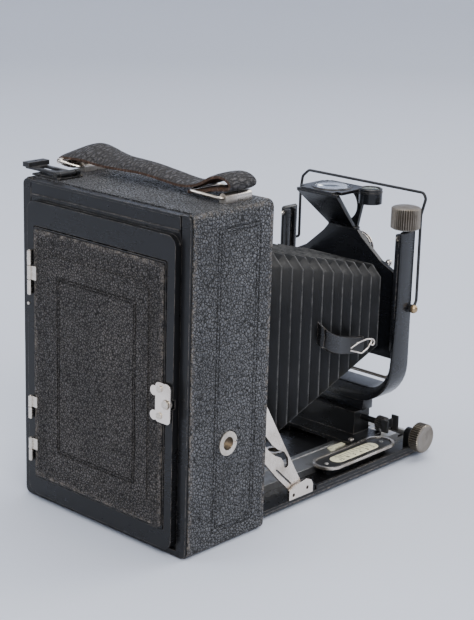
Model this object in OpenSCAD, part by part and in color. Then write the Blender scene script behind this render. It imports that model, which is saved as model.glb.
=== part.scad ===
// Folding plate camera, bed open, seen with its focusing back towards +Y and its lens towards -Y.
// The origin is on the resting face, midway across the body and midway through its depth.

/* [Body] */
// Width of the body across the leather
body_w = 110; // [108:1:114]
// Depth of the body, front to back
body_d = 52; // [52:1:54]
// Height of the body
body_h = 158; // [156:1:162]
// Thickness of the leather covering
leather_t = 1; // [0.8:0.1:1.2]
// Wall of the metal shell
wall = 2.5; // [2:0.1:3]

/* [Front standard] */
// Height of the lens axis above the resting face
lens_z = 82; // [80:1:84]
// Half the width of the U standard over its arms
arm_x = 41; // [40.5:0.1:41.5]
// Distance of the standard's middle in front of the body's middle
standard_y = -146.8; // [-147:0.1:-146.4]

/* [Bed] */
// Half the width of the bed
bed_x = 49.4; // [49:0.1:49.6]
// Front end of the bed
bed_front = -167; // [-168:0.5:-166.5]
// Module of the focusing rack and pinion
gear_module = 0.64; // [0.6:0.01:0.66]
// Teeth on the focusing pinion
pinion_teeth = 10; // [10:1:10]

/* [Bellows] */
// Half width of the bellows at the standard
bellows_front_x = 30; // [28:0.5:30]
// Half width of the bellows in the body
bellows_rear_x = 44; // [42:0.5:44.5]
// Distance between two folds
fold_pitch = 9; // [8.9:0.05:9]

/* [Hidden] */
$fn = 48;
e = 0.01;
front_y = -body_d / 2;
rear_y = body_d / 2;
shell_rear = rear_y - 4;
mid_z = body_h / 2;
hinge_y = -23.6;
hinge_z = 6.4;
slide_z0 = 3.5;
panel_top = 148.5;
lid_x = 43.4;
lid_z0 = 13;
lid_z1 = 136.6;
lid_hinge_x = 45.3;
lid_hinge_y = 30.4;
bush_y = 0.1;
bush_z = 49.7;
bed_top = 4.5;
strut_pivot = [-59, 8.4];
strut_pin = [-20, 58];
strut_turn_ratio = 0.72;
hinge_point = [hinge_y, hinge_z];
knob_y = -152.6;
knob_z = 11.8;
pinion_r = gear_module * pinion_teeth / 2;
rack_pitch_z = knob_z - pinion_r;
tooth_pitch = PI * gear_module;
scale_x = -38.5;
spindle_x = -39;
arm_top = 122;
board_y = -148.4;
board_rear = -145.9;
neck_top = 117.2;
shutter_y = -157;
dial_z = lens_z + 22;
wire_y = -156;
wire_pivot = [-152.7, 80.2];
wire_r = 0.75;
handle_y = -11;

// A rectangle with round corners, centred across, from z0 to z1
module rounded(half_w, z0, z1, r) {
    union() {
        translate([-half_w + r, z0]) square([2 * (half_w - r), z1 - z0]);
        translate([-half_w, z0 + r]) square([2 * half_w, z1 - z0 - 2 * r]);
        for (sx = [-1, 1], z = [z0 + r, z1 - r]) translate([sx * (half_w - r), z]) circle(r);
    }
}
// A drawing in X and Z, thick along Y from y0 to y1
module along_y(y0, y1) { translate([0, y1, 0]) rotate([90, 0, 0]) linear_extrude(y1 - y0) children(); }
// A drawing in Y and Z, thick along X from x0 to x1
module along_x(x0, x1) { translate([x0, 0, 0]) rotate([90, 0, 90]) linear_extrude(x1 - x0) children(); }
// A drawing in X and Y, thick along Z from z0 to z1
module along_z(z0, z1) { translate([0, 0, z0]) linear_extrude(z1 - z0) children(); }
// A block between two corners
module block(a, b) { translate(a) cube(b - a); }
// Round rods along each axis
module rod_x(x0, x1, y, z, r) { translate([x0, y, z]) rotate([0, 90, 0]) cylinder(h = x1 - x0, r = r); }
module rod_y(y0, y1, x, z, r) { translate([x, y1, z]) rotate([90, 0, 0]) cylinder(h = y1 - y0, r = r); }
module rod_z(z0, z1, x, y, r) { translate([x, y, z0]) cylinder(h = z1 - z0, r = r); }
module both_sides() { children(); mirror([1, 0, 0]) children(); }
function turned(v, a) = [v[0] * cos(a) - v[1] * sin(a), v[0] * sin(a) + v[1] * cos(a)];
function unit(v) = v / norm(v);
function side_of(v) = [-v[1], v[0]];
// A polyline moved sideways by d, with mitred corners
function offset_line(pts, d) = let (n = len(pts)) [for (i = [0 : n - 1])
    let (a = unit(i > 0 ? pts[i] - pts[i - 1] : pts[1] - pts[0]),
        b = unit(i < n - 1 ? pts[i + 1] - pts[i] : pts[n - 1] - pts[n - 2]),
        m = unit(side_of(a) + side_of(b)))
    pts[i] + m * d / (m * side_of(a))];
// A half round cap of radius r at p, going on from the direction v
function cap(p, v, r) = [for (k = [1 : 5]) p + r * turned(side_of(unit(v)), -30 * k)];
// A stroke along points with round ends, as one outline
module stroke(points, width) {
    n = len(points);
    left = offset_line(points, width / 2);
    right = offset_line(points, -width / 2);
    polygon(concat(left, cap(points[n - 1], points[n - 1] - points[n - 2], width / 2),
        [for (i = [n - 1 : -1 : 0]) right[i]], cap(points[0], points[0] - points[1], width / 2)));
}

// ---- body ----
module shell_profile(inset, r) { rounded(body_w / 2 - inset, inset, body_h - inset, r); }
module body_shell() color("#1b1b1e") difference() {
    along_y(front_y, shell_rear) shell_profile(leather_t, 2.5);
    along_y(front_y - 1, shell_rear - 5) shell_profile(leather_t + wall, 1);
    along_y(0, rear_y) rounded(42, mid_z - 58, mid_z + 58, 2);
    rod_x(-body_w, -body_w / 2 + 8, bush_y, bush_z, 4.5);
    both_sides()
        rod_x(body_w / 2 - leather_t - wall - 1, body_w / 2 - leather_t - 1, hinge_y, hinge_z, 1.1);
    both_sides() rod_x(body_w / 2 - 6, body_w / 2 - 2, strut_pin[0], strut_pin[1], 1);
    rod_x(body_w / 2 - 8, body_w / 2 + 1, -18, 120, 2.1);
}
module leather_groove(z0, z1, y0, y1, w) {
    difference() {
        along_x(-1, 1) translate([(y0 + y1) / 2, 0]) rounded((y1 - y0) / 2, z0, z1, 0.5);
        along_x(-2, 2) translate([(y0 + y1) / 2, 0]) rounded((y1 - y0) / 2 - w, z0 + w, z1 - w, 0.4);
    }
}
module body_leather() color("#26262a") difference() {
    along_y(front_y, rear_y - 1.5) shell_profile(0, 3.4);
    along_y(front_y - 1, rear_y) shell_profile(leather_t, 2.5);
    for (sx = [-1, 1]) translate([sx * (body_w / 2 + 0.7), 0, 0]) {
        leather_groove(8, 150, -18, 9.5, 0.8);
        leather_groove(10, 148, -16, 7.5, 0.5);
    }
    rod_x(-body_w, -body_w / 2 + 3, bush_y, bush_z, 5.7);
    rod_x(body_w / 2 - 3, body_w, -18, 120, 2.1);
    block([-52.2, shell_rear, body_h - 3], [52.2, rear_y, body_h + 1]);
}
module rear_rail_frame() color("#202024") difference() {
    along_y(shell_rear, rear_y) shell_profile(0.5, 3);
    along_y(shell_rear - 1, shell_rear + 2.6) translate([0, 2.4]) rounded(52.2, 0, body_h, 0.5);
    along_y(shell_rear, rear_y + 1) translate([0, slide_z0 - 0.3]) rounded(49.2, 0, body_h, 0.5);
    difference() {
        along_y(shell_rear - e, rear_y - 1.5) rounded(body_w, -1, body_h + 1, 1);
        along_y(shell_rear - 1, rear_y) shell_profile(leather_t, 2.5);
    }
}
module side_tripod_bush() color("#d9d4ca") difference() {
    union() {
        rod_x(-body_w / 2 - 0.6, -body_w / 2 + leather_t, bush_y, bush_z, 5.7);
        rod_x(-body_w / 2 + leather_t - e, -body_w / 2 + 7.5, bush_y, bush_z, 4.5);
    }
    rod_x(-body_w / 2 - 2, -body_w / 2 + 7, bush_y, bush_z, 3.175);
    block([-body_w / 2 - 2, bush_y - 6, bush_z - 0.5], [-body_w / 2, bush_y - 3.4, bush_z + 0.5]);
}
// ---- sliding focusing back ----
module back_frame() color("#232327") difference() {
    union() {
        along_y(shell_rear + 0.4, shell_rear + 2.2) rounded(51.8, slide_z0 - 0.8, body_h - 0.5, 1);
        along_y(shell_rear + 2, rear_y + 3) rounded(48.5, slide_z0, panel_top, 5);
        along_y(shell_rear + 2, rear_y + 0.2) rounded(48.5, panel_top - 8, body_h - 0.5, 1);
        along_y(rear_y, rear_y + 0.9) rounded(48, panel_top + 1.2, panel_top + 2.4, 0.4);
        along_y(rear_y, rear_y + 0.7) rounded(48.5, body_h - 1.7, body_h - 0.5, 0.4);
    }
    along_y(shell_rear, rear_y) rounded(41, 18.5, 136, 1);
    along_y(shell_rear + 1.4, rear_y + 4) rounded(lid_x + 0.5, lid_z0 - 0.5, lid_z1 + 0.5, 1.2);
    rod_y(rear_y + 1.6, rear_y + 4, -46, 73.2, 3.2);
}
module ground_glass() color([0.75, 0.82, 0.8, 0.6]) along_y(shell_rear + 1.4, shell_rear + 2.9)
    rounded(lid_x, lid_z0, lid_z1, 0.6);
module glass_springs() color("#c8c2b6") both_sides() for (z = [26, 122])
    block([38.5, shell_rear + 2.92, z], [lid_x + 0.5, shell_rear + 3.3, z + 5]);
module lid_pan() color("#202024") difference() {
    along_y(25.6, 29.3) rounded(lid_x, lid_z0, lid_z1, 1);
    along_y(25, 28.4) rounded(lid_x - 1, lid_z0 + 1, lid_z1 - 1, 0.6);
    for (z = [67, 79.5]) rod_y(27, 30, -41.9, z, 0.8);
}
module hood_leaves() color("#2b2b30") for (i = [0 : 2])
    along_y(27.98 - i * 0.5, 28.38 - i * 0.5) rounded(lid_x - 1.6 - i, lid_z0 + 2 + i, lid_z1 - 2 - i, 0.5);
module lid_leather() color("#27272b") difference() {
    union() {
        along_y(29.3, 29.9) rounded(lid_x - 0.8, lid_z0 + 0.8, lid_z1 - 0.8, 1.5);
        along_y(29.8, 30.3) rounded(33.8, 21.5, 125, 5);
    }
    difference() {
        along_y(29.9, 31) rounded(26.4, 29.5, 116, 0.8);
        along_y(29, 32) rounded(25.6, 30.3, 115.2, 0.6);
    }
    difference() {
        along_y(29.9, 31) rounded(25, 30.9, 114.6, 0.6);
        along_y(29, 32) rounded(24.4, 31.5, 114, 0.5);
    }
    for (z = [67, 79.5]) rod_y(29, 31, -41.9, z, 0.8);
}
fixed_knuckles = [[20.9, 26.4], [42.4, 47.9], [104, 110.8], [118.2, 125]];
moving_knuckles = [[26.8, 32.3], [48.3, 53.6], [111.2, 117.8]];
module lid_hinge_fixed() color("#cfcac0") for (k = fixed_knuckles) difference() {
    union() {
        rod_z(k[0], k[1], lid_hinge_x, lid_hinge_y, 1.15);
        block([lid_hinge_x, 29, k[0]], [lid_hinge_x + 1.1, lid_hinge_y, k[1]]);
    }
    rod_z(k[0] - 1, k[1] + 1, lid_hinge_x, lid_hinge_y, 0.5);
}
module lid_hinge_moving() color("#cfcac0") for (k = moving_knuckles) difference() {
    union() {
        rod_z(k[0], k[1], lid_hinge_x, lid_hinge_y, 1.15);
        block([40.8, 29.9, k[0]], [lid_hinge_x, 30.4, k[1]]);
    }
    rod_z(k[0] - 1, k[1] + 1, lid_hinge_x, lid_hinge_y, 0.55);
}
module lid_hinge_pins() color("#e0dcd2") for (k = [[20.5, 32.6], [42, 54], [103.6, 125.4]])
    rod_z(k[0], k[1], lid_hinge_x, lid_hinge_y, 0.5);
module frame_rivets() color("#dedad2") for (z = [26.6, 47.5, 98.8, 120.4]) rod_y(29, 29.5, 47.6, z, 0.75);
module latch_plate() color("#d8d2c6") difference() {
    along_y(29.92, 30.7) union() {
        translate([-43.9, 0]) rounded(4.6, 64, 82.4, 2);
        for (z = [66.6, 78]) translate([-38.4, z]) circle(2.3);
    }
    for (z = [67, 79.5]) rod_y(29, 31, -41.9, z, 0.8);
    rod_y(29, 32, -46, 73.2, 2.2);
}
module latch_screws() color("#bdb7ab") for (z = [67, 79.5]) difference() {
    union() {
        rod_y(28.6, 31, -41.9, z, 0.8);
        rod_y(30.7, 31.3, -41.9, z, 1.6);
    }
    block([-44, 31, z - 0.2], [-40, 32, z + 0.2]);
}
module latch_button() color("#c9c3b7") union() {
    rod_y(29.05, 31.7, -46, 73.2, 1.9);
    rod_y(29.05, 29.6, -46, 73.2, 2.4);
}
// ---- carrying handle and rear sight ----
strap_knots = [[60.5, 163], [56, 164], [50, 165.6], [42, 167.4], [35, 167.4], [27, 165.8], [18, 164.2],
    [6, 163.6], [-8, 163.1], [-18, 162.4], [-27, 162.3], [-33, 163.8], [-38, 166.6], [-43, 168.7],
    [-48, 168.3], [-49.7, 167.6], [-50.4, 165.9], [-49.7, 164.2], [-48, 163.5], [-44.6, 163.4]];
function smooth_at(k, i, t) =
    let (a = k[max(i - 1, 0)], b = k[i], c = k[i + 1], d = k[min(i + 2, len(k) - 1)])
    0.5 * (2 * b + (c - a) * t + (2 * a - 5 * b + 4 * c - d) * t * t + (3 * b - a - 3 * c + d) * t * t * t);
strap_line = [for (i = [0 : len(strap_knots) - 2], t = [0, 0.25, 0.5, 0.75]) smooth_at(strap_knots, i, t)];
module handle_strap() color("#2a211d") along_y(handle_y - 8, handle_y + 8) stroke(strap_line, 2);
// A rectangular wire loop on each roller: the right one lies inwards, the left one outwards
module handle_loops() color("#d6d0c4") for (ends = [[26.5, 45.6, -1], [45.6, 58.6, 1]]) {
    middle = ends[2] * (ends[0] + ends[1]) / 2;
    half = (ends[1] - ends[0]) / 2 + 0.4;
    for (y = [handle_y - 9.6, handle_y + 9.6]) rod_x(middle - half, middle + half, y, 160.2, 0.74);
    for (x = [ends[0], ends[1]]) rod_y(handle_y - 10.1, handle_y + 10.1, ends[2] * x, 160.2, 0.8);
}
module handle_rollers() color("#cdc7ba") both_sides() difference() {
    union() {
        rod_y(handle_y - 8.4, handle_y + 8.4, 45.6, 160.2, 2.1);
        block([43.5, handle_y - 8.4, body_h], [47.7, handle_y + 8.4, 160.2]);
    }
    rod_y(handle_y - 11, handle_y + 11, 45.6, 160.2, 0.86);
}
sight_hinge = [38, 160.2];
module sight_base() color("#29292d") difference() {
    union() {
        block([35, 6.5, body_h], [54, 21, body_h + 0.9]);
        for (y = [6.5, 18.6]) rod_y(y, y + 2.4, sight_hinge[0], sight_hinge[1], 1.5);
        for (y = [6.5, 18.6]) block([36.5, y, body_h], [39.5, y + 2.4, sight_hinge[1]]);
    }
    rod_y(5, 22, sight_hinge[0], sight_hinge[1], 0.7);
}
module sight_leaf() color("#3a3a3e") difference() {
    union() {
        rod_y(9.2, 18.3, sight_hinge[0], sight_hinge[1], 1.2);
        block([38, 9.2, 159.6], [62, 18.3, 160.8]);
        block([57.5, 7.5, 160.7], [62, 20, 163]);
        rod_y(6.6, 20.9, sight_hinge[0], sight_hinge[1], 0.65);
    }
    block([43, 11.4, 159], [56, 16.1, 162]);
    rod_z(159, 164, 59.75, 13.75, 0.8);
}
module bed_release_button() color("#303034") union() {
    rod_x(body_w / 2 - 3.2, body_w / 2 + 1.2, -18, 120, 1.8);
    rod_x(body_w / 2 - 4.6, body_w / 2 - 3.6, -18, 120, 3);
    rod_x(body_w / 2 - 3.7, body_w / 2 - 3.1, -18, 120, 1.8);
}
// ---- bed ----
module bed_plate() color("#1c1c1f") difference() {
    block([-bed_x, bed_front, 3], [bed_x, front_y - 1.2, bed_top]);
    rod_z(0, 6, 0, -96, 5);
}
// Turned-up edges of the bed, its front lip and its two hinge knuckles
module bed_edges() color("#1c1c1f") {
    both_sides() block([bed_x - 1.4, bed_front, bed_top], [bed_x, -72, 6.6]);
    block([-bed_x + 1.5, bed_front, bed_top], [bed_x - 1.5, bed_front + 0.5, 4.9]);
    both_sides() difference() {
        union() {
            block([41, -31, bed_top], [46, hinge_y, 8]);
            rod_x(41, 46, hinge_y, hinge_z, 2.1);
        }
        rod_x(40, 47, hinge_y, hinge_z, 1.16);
    }
}
module bed_leather() color("#27272b") difference() {
    block([-bed_x, bed_front, 2.2], [bed_x, front_y - 1.2, 3]);
    rod_z(0, 6, 0, -96, 6.5);
}
module bed_feet() color("#b9b4aa") both_sides() rod_z(0, 2.2, 30, -158, 4);
module bed_guides() color("#c5c0b6") both_sides() {
    block([32.6, -158, 4.5], [34.4, -36, 8.2]);
    block([30.9, -158, 7.6], [34.4, -36, 8.2]);
}
module bed_tripod_bush() color("#d9d4ca") difference() {
    union() {
        rod_z(1.8, 3, 0, -96, 6.5);
        rod_z(2.9, 4.9, 0, -96, 5);
    }
    rod_z(1, 6, 0, -96, 3.175);
}
module strut_brackets() color("#ddd6ca") both_sides() difference() {
    union() {
        along_x(48.2, 49.4) polygon([[-69, 4.5], [-69, 8.6], [-67.6, 11.2], [-63.7, 12.7], [-54.3, 11.1],
            [-51.4, 9.6], [-51.4, 4.5]]);
        block([44.6, -69, 4.5], [48.3, -66, 5.3]);
        rod_x(46.2, 48.3, strut_pivot[0], strut_pivot[1], 1.2);
    }
    for (p = [[-64.8, 7.9], [-54.6, 6.6]]) rod_x(47, 51, p[0], p[1], 0.9);
}
// Where the body's pin lies in a strut, in the strut's own frame, when the bed has folded up by a
function pin_in_strut(a) =
    let (pivot = hinge_point + turned(strut_pivot - hinge_point, -a))
    strut_pivot + turned(strut_pin - pivot, a - strut_turn_ratio * a);
strut_slot = concat([for (a = [-1 : 3 : 20]) pin_in_strut(a)], [[-34, 39.6], [-38, 35], [-42.3, 31.6],
    [-47, 29.2], [-49.4, 26], [-49.8, 23.4]]);
module strut_plate() difference() {
    along_x(46.7, 47.9) union() {
        translate(strut_pivot) circle(3.6);
        polygon([[-62.5, 9.6], [-34.6, 56.3], [-27, 64.5], [-17, 66], [-11.5, 60], [-12, 52], [-33.9, 28.4],
            [-43.5, 18.1], [-56.4, 5.9]]);
    }
    along_x(46, 49) stroke(strut_slot, 3.3);
    along_x(46, 49) stroke([[-42.8, 22.5], [-53.6, 12.6]], 1);
    rod_x(45, 49, strut_pivot[0], strut_pivot[1], 1.26);
}
module strut_right() color("#ddd6ca") mirror([1, 0, 0]) strut_plate();
module strut_left() color("#ddd6ca") strut_plate();
// The bed's hinge pin and the two headed pins that the struts slide on
module bed_pins() color("#b9b4aa") {
    rod_x(-52.4, 52.4, hinge_y, hinge_z, 1.1);
    both_sides() {
        rod_x(45.4, 53, strut_pin[0], strut_pin[1], 1);
        rod_x(45.2, 51.5, strut_pin[0], strut_pin[1], 1.3);
        rod_x(44.9, 46.2, strut_pin[0], strut_pin[1], 2.4);
    }
}
// ---- focusing track, pinion and scale ----
rack_teeth = 9;
module focus_track() color("#8f8c86") union() {
    both_sides() difference() {
        block([17, -166.4, 5], [32.3, -50, 7.4]);
        block([20, -160, 7], [22, -56, 8]);
    }
    block([-17.1, -166.4, 5], [17.1, -159, 6.2]);
    block([-17.1, -60, 5], [17.1, -52, 6.2]);
    block([-28.2, -166.4, 7.3], [-24.8, -149.6, rack_pitch_z - 0.75]);
    for (i = [0 : rack_teeth - 1]) let (y = knob_y + (0.5 - i) * tooth_pitch)
        if (y - 0.5 > -166.4) along_x(-28.2, -24.8) polygon([[y - 0.62, rack_pitch_z - 0.8],
            [y + 0.62, rack_pitch_z - 0.8], [y + 0.22, rack_pitch_z + 0.55], [y - 0.22, rack_pitch_z + 0.55]]);
}
module focus_pointer() color("#e8d9cf") along_z(7.5, 8.1) polygon([[-25.4, -124], [-22.6, -124],
    [-22.6, -112.5], [-26, -111], [-30, -110.5], [-30, -112.2], [-25.4, -114.4]]);
module pinion_profile() union() {
    circle(pinion_r - 0.78);
    for (i = [0 : pinion_teeth - 1]) rotate(i * 360 / pinion_teeth)
        polygon([[-0.6, -1.5], [0.6, -1.5], [0.58, -pinion_r + 0.7], [0.2, -pinion_r - 0.52],
            [-0.2, -pinion_r - 0.52], [-0.58, -pinion_r + 0.7]]);
}
module focus_knob() color("#8d8478") union() {
    rod_x(-51, -24.8, knob_y, knob_z, 1.5);
    along_x(-28.2, -24.8) translate([knob_y, knob_z]) pinion_profile();
    along_x(-56.4, -50.2) translate([knob_y, knob_z]) difference() {
        circle(7.75);
        for (i = [0 : 35]) rotate(i * 10) translate([7.75, 0]) circle(0.3, $fn = 4);
    }
    rod_x(-50.3, -48.2, knob_y, knob_z, 3.4);
}
module knob_bearing() color("#3c3a3a") difference() {
    union() {
        block([-47.9, knob_y - 3.6, 4.5], [-44.4, knob_y + 3.6, knob_z]);
        rod_x(-47.9, -44.4, knob_y, knob_z, 3.6);
    }
    rod_x(-60, -30, knob_y, knob_z, 1.56);
}
module oval(half_long, half_wide) union() {
    square([2 * half_wide, 2 * (half_long - half_wide)], center = true);
    for (s = [-1, 1]) translate([0, s * (half_long - half_wide)]) circle(half_wide);
}
module at_scale() translate([scale_x, -115, 0]) children();
module scale_rim() color("#d9d3c7") at_scale() difference() {
    along_z(8.5, 9.9) oval(29, 7.9);
    along_z(8, 11) oval(27.6, 6.6);
}
module scale_plate() color("#3a3020") at_scale() union() {
    along_z(4.5, 8.6) translate([-0.4, 0]) oval(24, 3.6);
    along_z(8.5, 9.3) oval(27.6, 6.6);
    along_z(9.2, 9.6) oval(17.6, 3.5);
}
// ---- carriage and U standard ----
module carriage_base() color("#222226") union() {
    block([-30.2, -148.6, 7.5], [30.2, -124, 9.4]);
    both_sides() block([13.4, -148.6, 4.9], [16.8, -124, 7.6]);
    block([-22, -147.8, 9.3], [22, -135, 22]);
    rod_x(-38, -21.9, -141.5, 18, 1.6);
}
module clamp_grip() color("#48474a") difference() {
    union() {
        block([-41.5, -147.6, 13.5], [-34.5, -137.5, 22.5]);
        for (y = [-146.9 : 1.5 : -138.2]) block([-42.3, y, 13.5], [-41.4, y + 0.8, 22.5]);
    }
    rod_x(-39.5, -30, -141.5, 18, 1.66);
}
module u_outline(half_w, z0, r, top) union() {
    translate([-half_w, z0 + r]) square([2 * half_w, top - z0 - r]);
    translate([-half_w + r, z0]) square([2 * (half_w - r), r + 1]);
    for (s = [-1, 1]) translate([s * (half_w - r), z0 + r]) circle(r);
}
module u_standard() color("#303238") difference() {
    union() {
        difference() {
            along_y(standard_y - 7.5, standard_y + 7.5) u_outline(arm_x, 27, 23, arm_top);
            along_y(standard_y - 9, standard_y + 9) u_outline(arm_x - 2.2, 36, 14, arm_top + 1);
        }
        both_sides() block([36.6, -150.5, 58], [38.9, standard_y + 7.5, arm_top]);
        block([-24, -147.8, 22], [24, -139.5, 28]);
    }
    both_sides() block([30, -148.7, 54], [37.7, -145.6, arm_top + 1]);
    rod_z(60, arm_top + 1, spindle_x, -147, 1.26);
    rod_x(-42, -37, wire_pivot[0], wire_pivot[1], 1);
    rod_x(-36, 36, -147.5, 41, 0.9);
}
module rise_screw() color("#8c8377") union() {
    rod_z(62, 123, spindle_x, -147, 1.2);
    rod_z(arm_top + 0.3, arm_top + 1.4, spindle_x, -147, 3);
    along_z(arm_top + 1.3, 134.6) translate([spindle_x, -147]) difference() {
        circle(7.6);
        for (i = [0 : 39]) rotate(i * 9) translate([7.6, 0]) circle(0.3, $fn = 4);
    }
}
module tie_rod() color("#d6d0c4") union() {
    rod_x(-36, 36, -147.5, 41, 0.9);
    both_sides() rod_x(32.5, 34, -147.5, 41, 1.6);
}
module lens_board() color("#1f1f23") difference() {
    union() {
        along_y(-148.4, board_rear) polygon([[-36.2, 52.6], [36.2, 52.6], [36.2, 60], [37.3, 60],
            [37.3, 97], [36.2, 98], [25, 103.5], [13.5, 113.5], [10.5, neck_top], [-9, neck_top], [-12.5, 113.5],
            [-25, 103.5], [-36.2, 98], [-37.3, 97], [-37.3, 60], [-36.2, 60]]);
        rod_y(board_rear - 1, -138.4, 0, lens_z, 15);
    }
    rod_y(-150, -130, 0, lens_z, 13);
}
// ---- brilliant finder and level ----
level_at = [-19.6, -142];
module finder_body() color("#26262b") union() {
    block([-8, -149.4, neck_top], [10, -145.2, 118.4]);
    difference() {
        along_y(-149.4, -147.6) polygon([[-7, neck_top], [9.6, neck_top], [15.5, 139.6], [-12, 139.6]]);
        rod_y(-152, -145, 1.6, 129.2, 8.4);
    }
    hull() {
        block([-7, -147, 117.4], [9.6, -145.8, 118.6]);
        block([-11.4, -126.4, 137.6], [15.4, -124.6, 139]);
    }
    difference() {
        along_z(138.4, 140) translate([1.8, -136.7]) union() {
            square([27.4, 18], center = true);
            square([21, 25.4], center = true);
        }
        rod_z(136, 142, 1.8, -136.7, 9.6);
    }
    difference() {
        block([-15.4, -146.8, 137.2], [-11, -143.2, 139.4]);
        rod_z(136, 140, level_at[0], level_at[1], 6);
    }
    rod_y(-150.1, -149.3, -5.6, 118.6, 1.2);
}
module finder_glass() color([0.8, 0.85, 0.88, 0.5]) union() {
    rod_z(138.2, 140.2, 1.8, -136.7, 9.6);
    translate([1.8, -136.7, 0]) intersection() {
        translate([0, 0, 116.6]) sphere(25.4, $fn = 64);
        rod_z(140.1, 145, 0, 0, 9.4);
    }
    rod_y(-150.4, -147.6, 1.6, 129.2, 8.4);
}
module spirit_level() color("#1c1c20") difference() {
    union() {
        rod_z(134, 141.6, level_at[0], level_at[1], 6);
        rod_z(139.6, 140.4, level_at[0], level_at[1], 6.2);
    }
    rod_z(140.8, 143, level_at[0], level_at[1], 4.8);
}
// ---- shutter and lens ----
cock_pivot = [-14.5, 96];
release_pivot = [19, 69];
socket_at = [-18.2, 69.3];
module shutter_case() color("#232327") difference() {
    union() {
        rod_y(shutter_y, board_y, 0, lens_z, 25);
        rod_y(shutter_y, board_y, 0, dial_z, 10);
        rod_y(-168, shutter_y + e, 0, lens_z, 13);
        rod_y(shutter_y - 2.4, shutter_y + e, socket_at[0], socket_at[1], 2.4);
        rod_y(shutter_y - 1.6, shutter_y + e, 0, dial_z, 4.6);
        rod_y(shutter_y - 5, shutter_y + e, 0, dial_z, 1.2);
        for (p = [cock_pivot, release_pivot]) rod_y(shutter_y - 1.8, shutter_y + e, p[0], p[1], 0.9);
    }
    rod_y(-174, -160, 0, lens_z, 11);
    rod_y(-161, -140, 0, lens_z, 9);
    rod_y(shutter_y - 3, shutter_y + 2.6, socket_at[0], socket_at[1], 1.6);
}
module shutter_dial() color("#c6c1b8") difference() {
    rod_y(shutter_y - 4.6, shutter_y - 1.7, 0, dial_z, 8.6);
    along_y(shutter_y - 5, shutter_y - 1) translate([0, dial_z]) for (i = [0 : 23]) rotate(i * 15)
        translate([8.6, 0]) circle(0.35, $fn = 4);
    rod_y(shutter_y - 6, shutter_y, 0, dial_z, 1.26);
}
// A flat lever in front of the shutter from its pivot to a point
module lever(pivot, tip, half) difference() {
    union() {
        rod_y(shutter_y - 1.5, shutter_y - 0.2, pivot[0], pivot[1], 2.2);
        along_y(shutter_y - 1.5, shutter_y - 0.2) stroke([pivot, tip], 2 * half);
    }
    rod_y(-160, -156, pivot[0], pivot[1], 0.96);
}
module cocking_lever() color("#d2ccc0") union() {
    lever(cock_pivot, [-20.8, 99.5], 1.1);
    rod_y(shutter_y - 3.6, shutter_y - 0.2, -20.8, 99.5, 1.8);
}
module release_lever() color("#d2ccc0") union() {
    lever(release_pivot, [27, 62.5], 1.1);
    rod_y(shutter_y - 4, shutter_y - 1.2, 27, 62.5, 1.8);
}
module aperture_lever() color("#bdb8ae") difference() {
    union() {
        rod_y(shutter_y - 1.5, shutter_y - 0.2, 0, lens_z, 15.8);
        along_y(shutter_y - 1.5, shutter_y - 0.2) stroke([[0, lens_z - 15], [0, lens_z - 25.4]], 2.2);
    }
    rod_y(-160, -150, 0, lens_z, 13.06);
}
module lens_cells() color([0.7, 0.76, 0.85, 0.5]) union() {
    rod_y(-166.4, -160, 0, lens_z, 10.96);
    rod_y(-148, -140.5, 0, lens_z, 12.96);
}
wire_path = [[-42.3, 80.2], [-41.9, 129.4], [-44.4, 138.4], [-42.6, 141.2], [33.8, 141.2], [38, 137.4],
    [39.2, 129], [39, 103.6], [41.8, 102.6]];
module wire_finder() color("#1a1a1c") difference() {
    union() {
        along_y(wire_y - wire_r, wire_y + wire_r) stroke(wire_path, 2 * wire_r);
        block([-42.9, wire_y, wire_pivot[1] - 0.7], [-41.5, wire_pivot[0], wire_pivot[1] + 0.7]);
        rod_x(-42.9, -41.5, wire_pivot[0], wire_pivot[1], 2.2);
    }
    rod_x(-44, -41, wire_pivot[0], wire_pivot[1], 1.26);
}
module finder_pivot_screw() color("#b08d4a") union() {
    rod_x(-43.1, -41, wire_pivot[0], wire_pivot[1], 1.2);
    rod_x(-41.1, -37.4, wire_pivot[0], wire_pivot[1], 1);
    rod_x(-46.4, -43.09, wire_pivot[0], wire_pivot[1], 2.4);
}
// ---- bellows ----
function taper(y, front, rear) = front + (rear - front) * (y + 140) / 130;
module fold_ring(y0, y1, grow) {
    y = (y0 + y1) / 2;
    half_w = taper(y, bellows_front_x, bellows_rear_x) + grow;
    z0 = taper(y, 53, 20) - grow;
    z1 = taper(y, 103, 136) + grow;
    c = 6;
    along_y(y0, y1) polygon([[-half_w, z0 + c], [-half_w + c, z0], [half_w - c, z0], [half_w, z0 + c],
        [half_w, z1 - c], [half_w - c, z1], [-half_w + c, z1], [-half_w, z1 - c]]);
}
// Folds of the bellows between two places, each a proud ring and a sunk ring round one open tunnel
module folds(y0, count) for (i = [0 : count - 1]) let (a = y0 + i * fold_pitch)
    difference() {
        union() {
            fold_ring(a, a + fold_pitch / 2, 0);
            fold_ring(a + fold_pitch / 2 - e, a + fold_pitch, -3);
        }
        fold_ring(a - 1, a + fold_pitch + 1, -5);
    }
folds_start = board_rear + 0.1;
module bellows_fore() color("#1d1d20") folds(folds_start, 3);
module bellows_mid() color("#1d1d20") folds(folds_start + 3 * fold_pitch, 5);
module bellows_main() color("#1d1d20") folds(folds_start + 8 * fold_pitch, 3);
module bellows_rear() color("#1d1d20") folds(folds_start + 11 * fold_pitch, 4);

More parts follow.
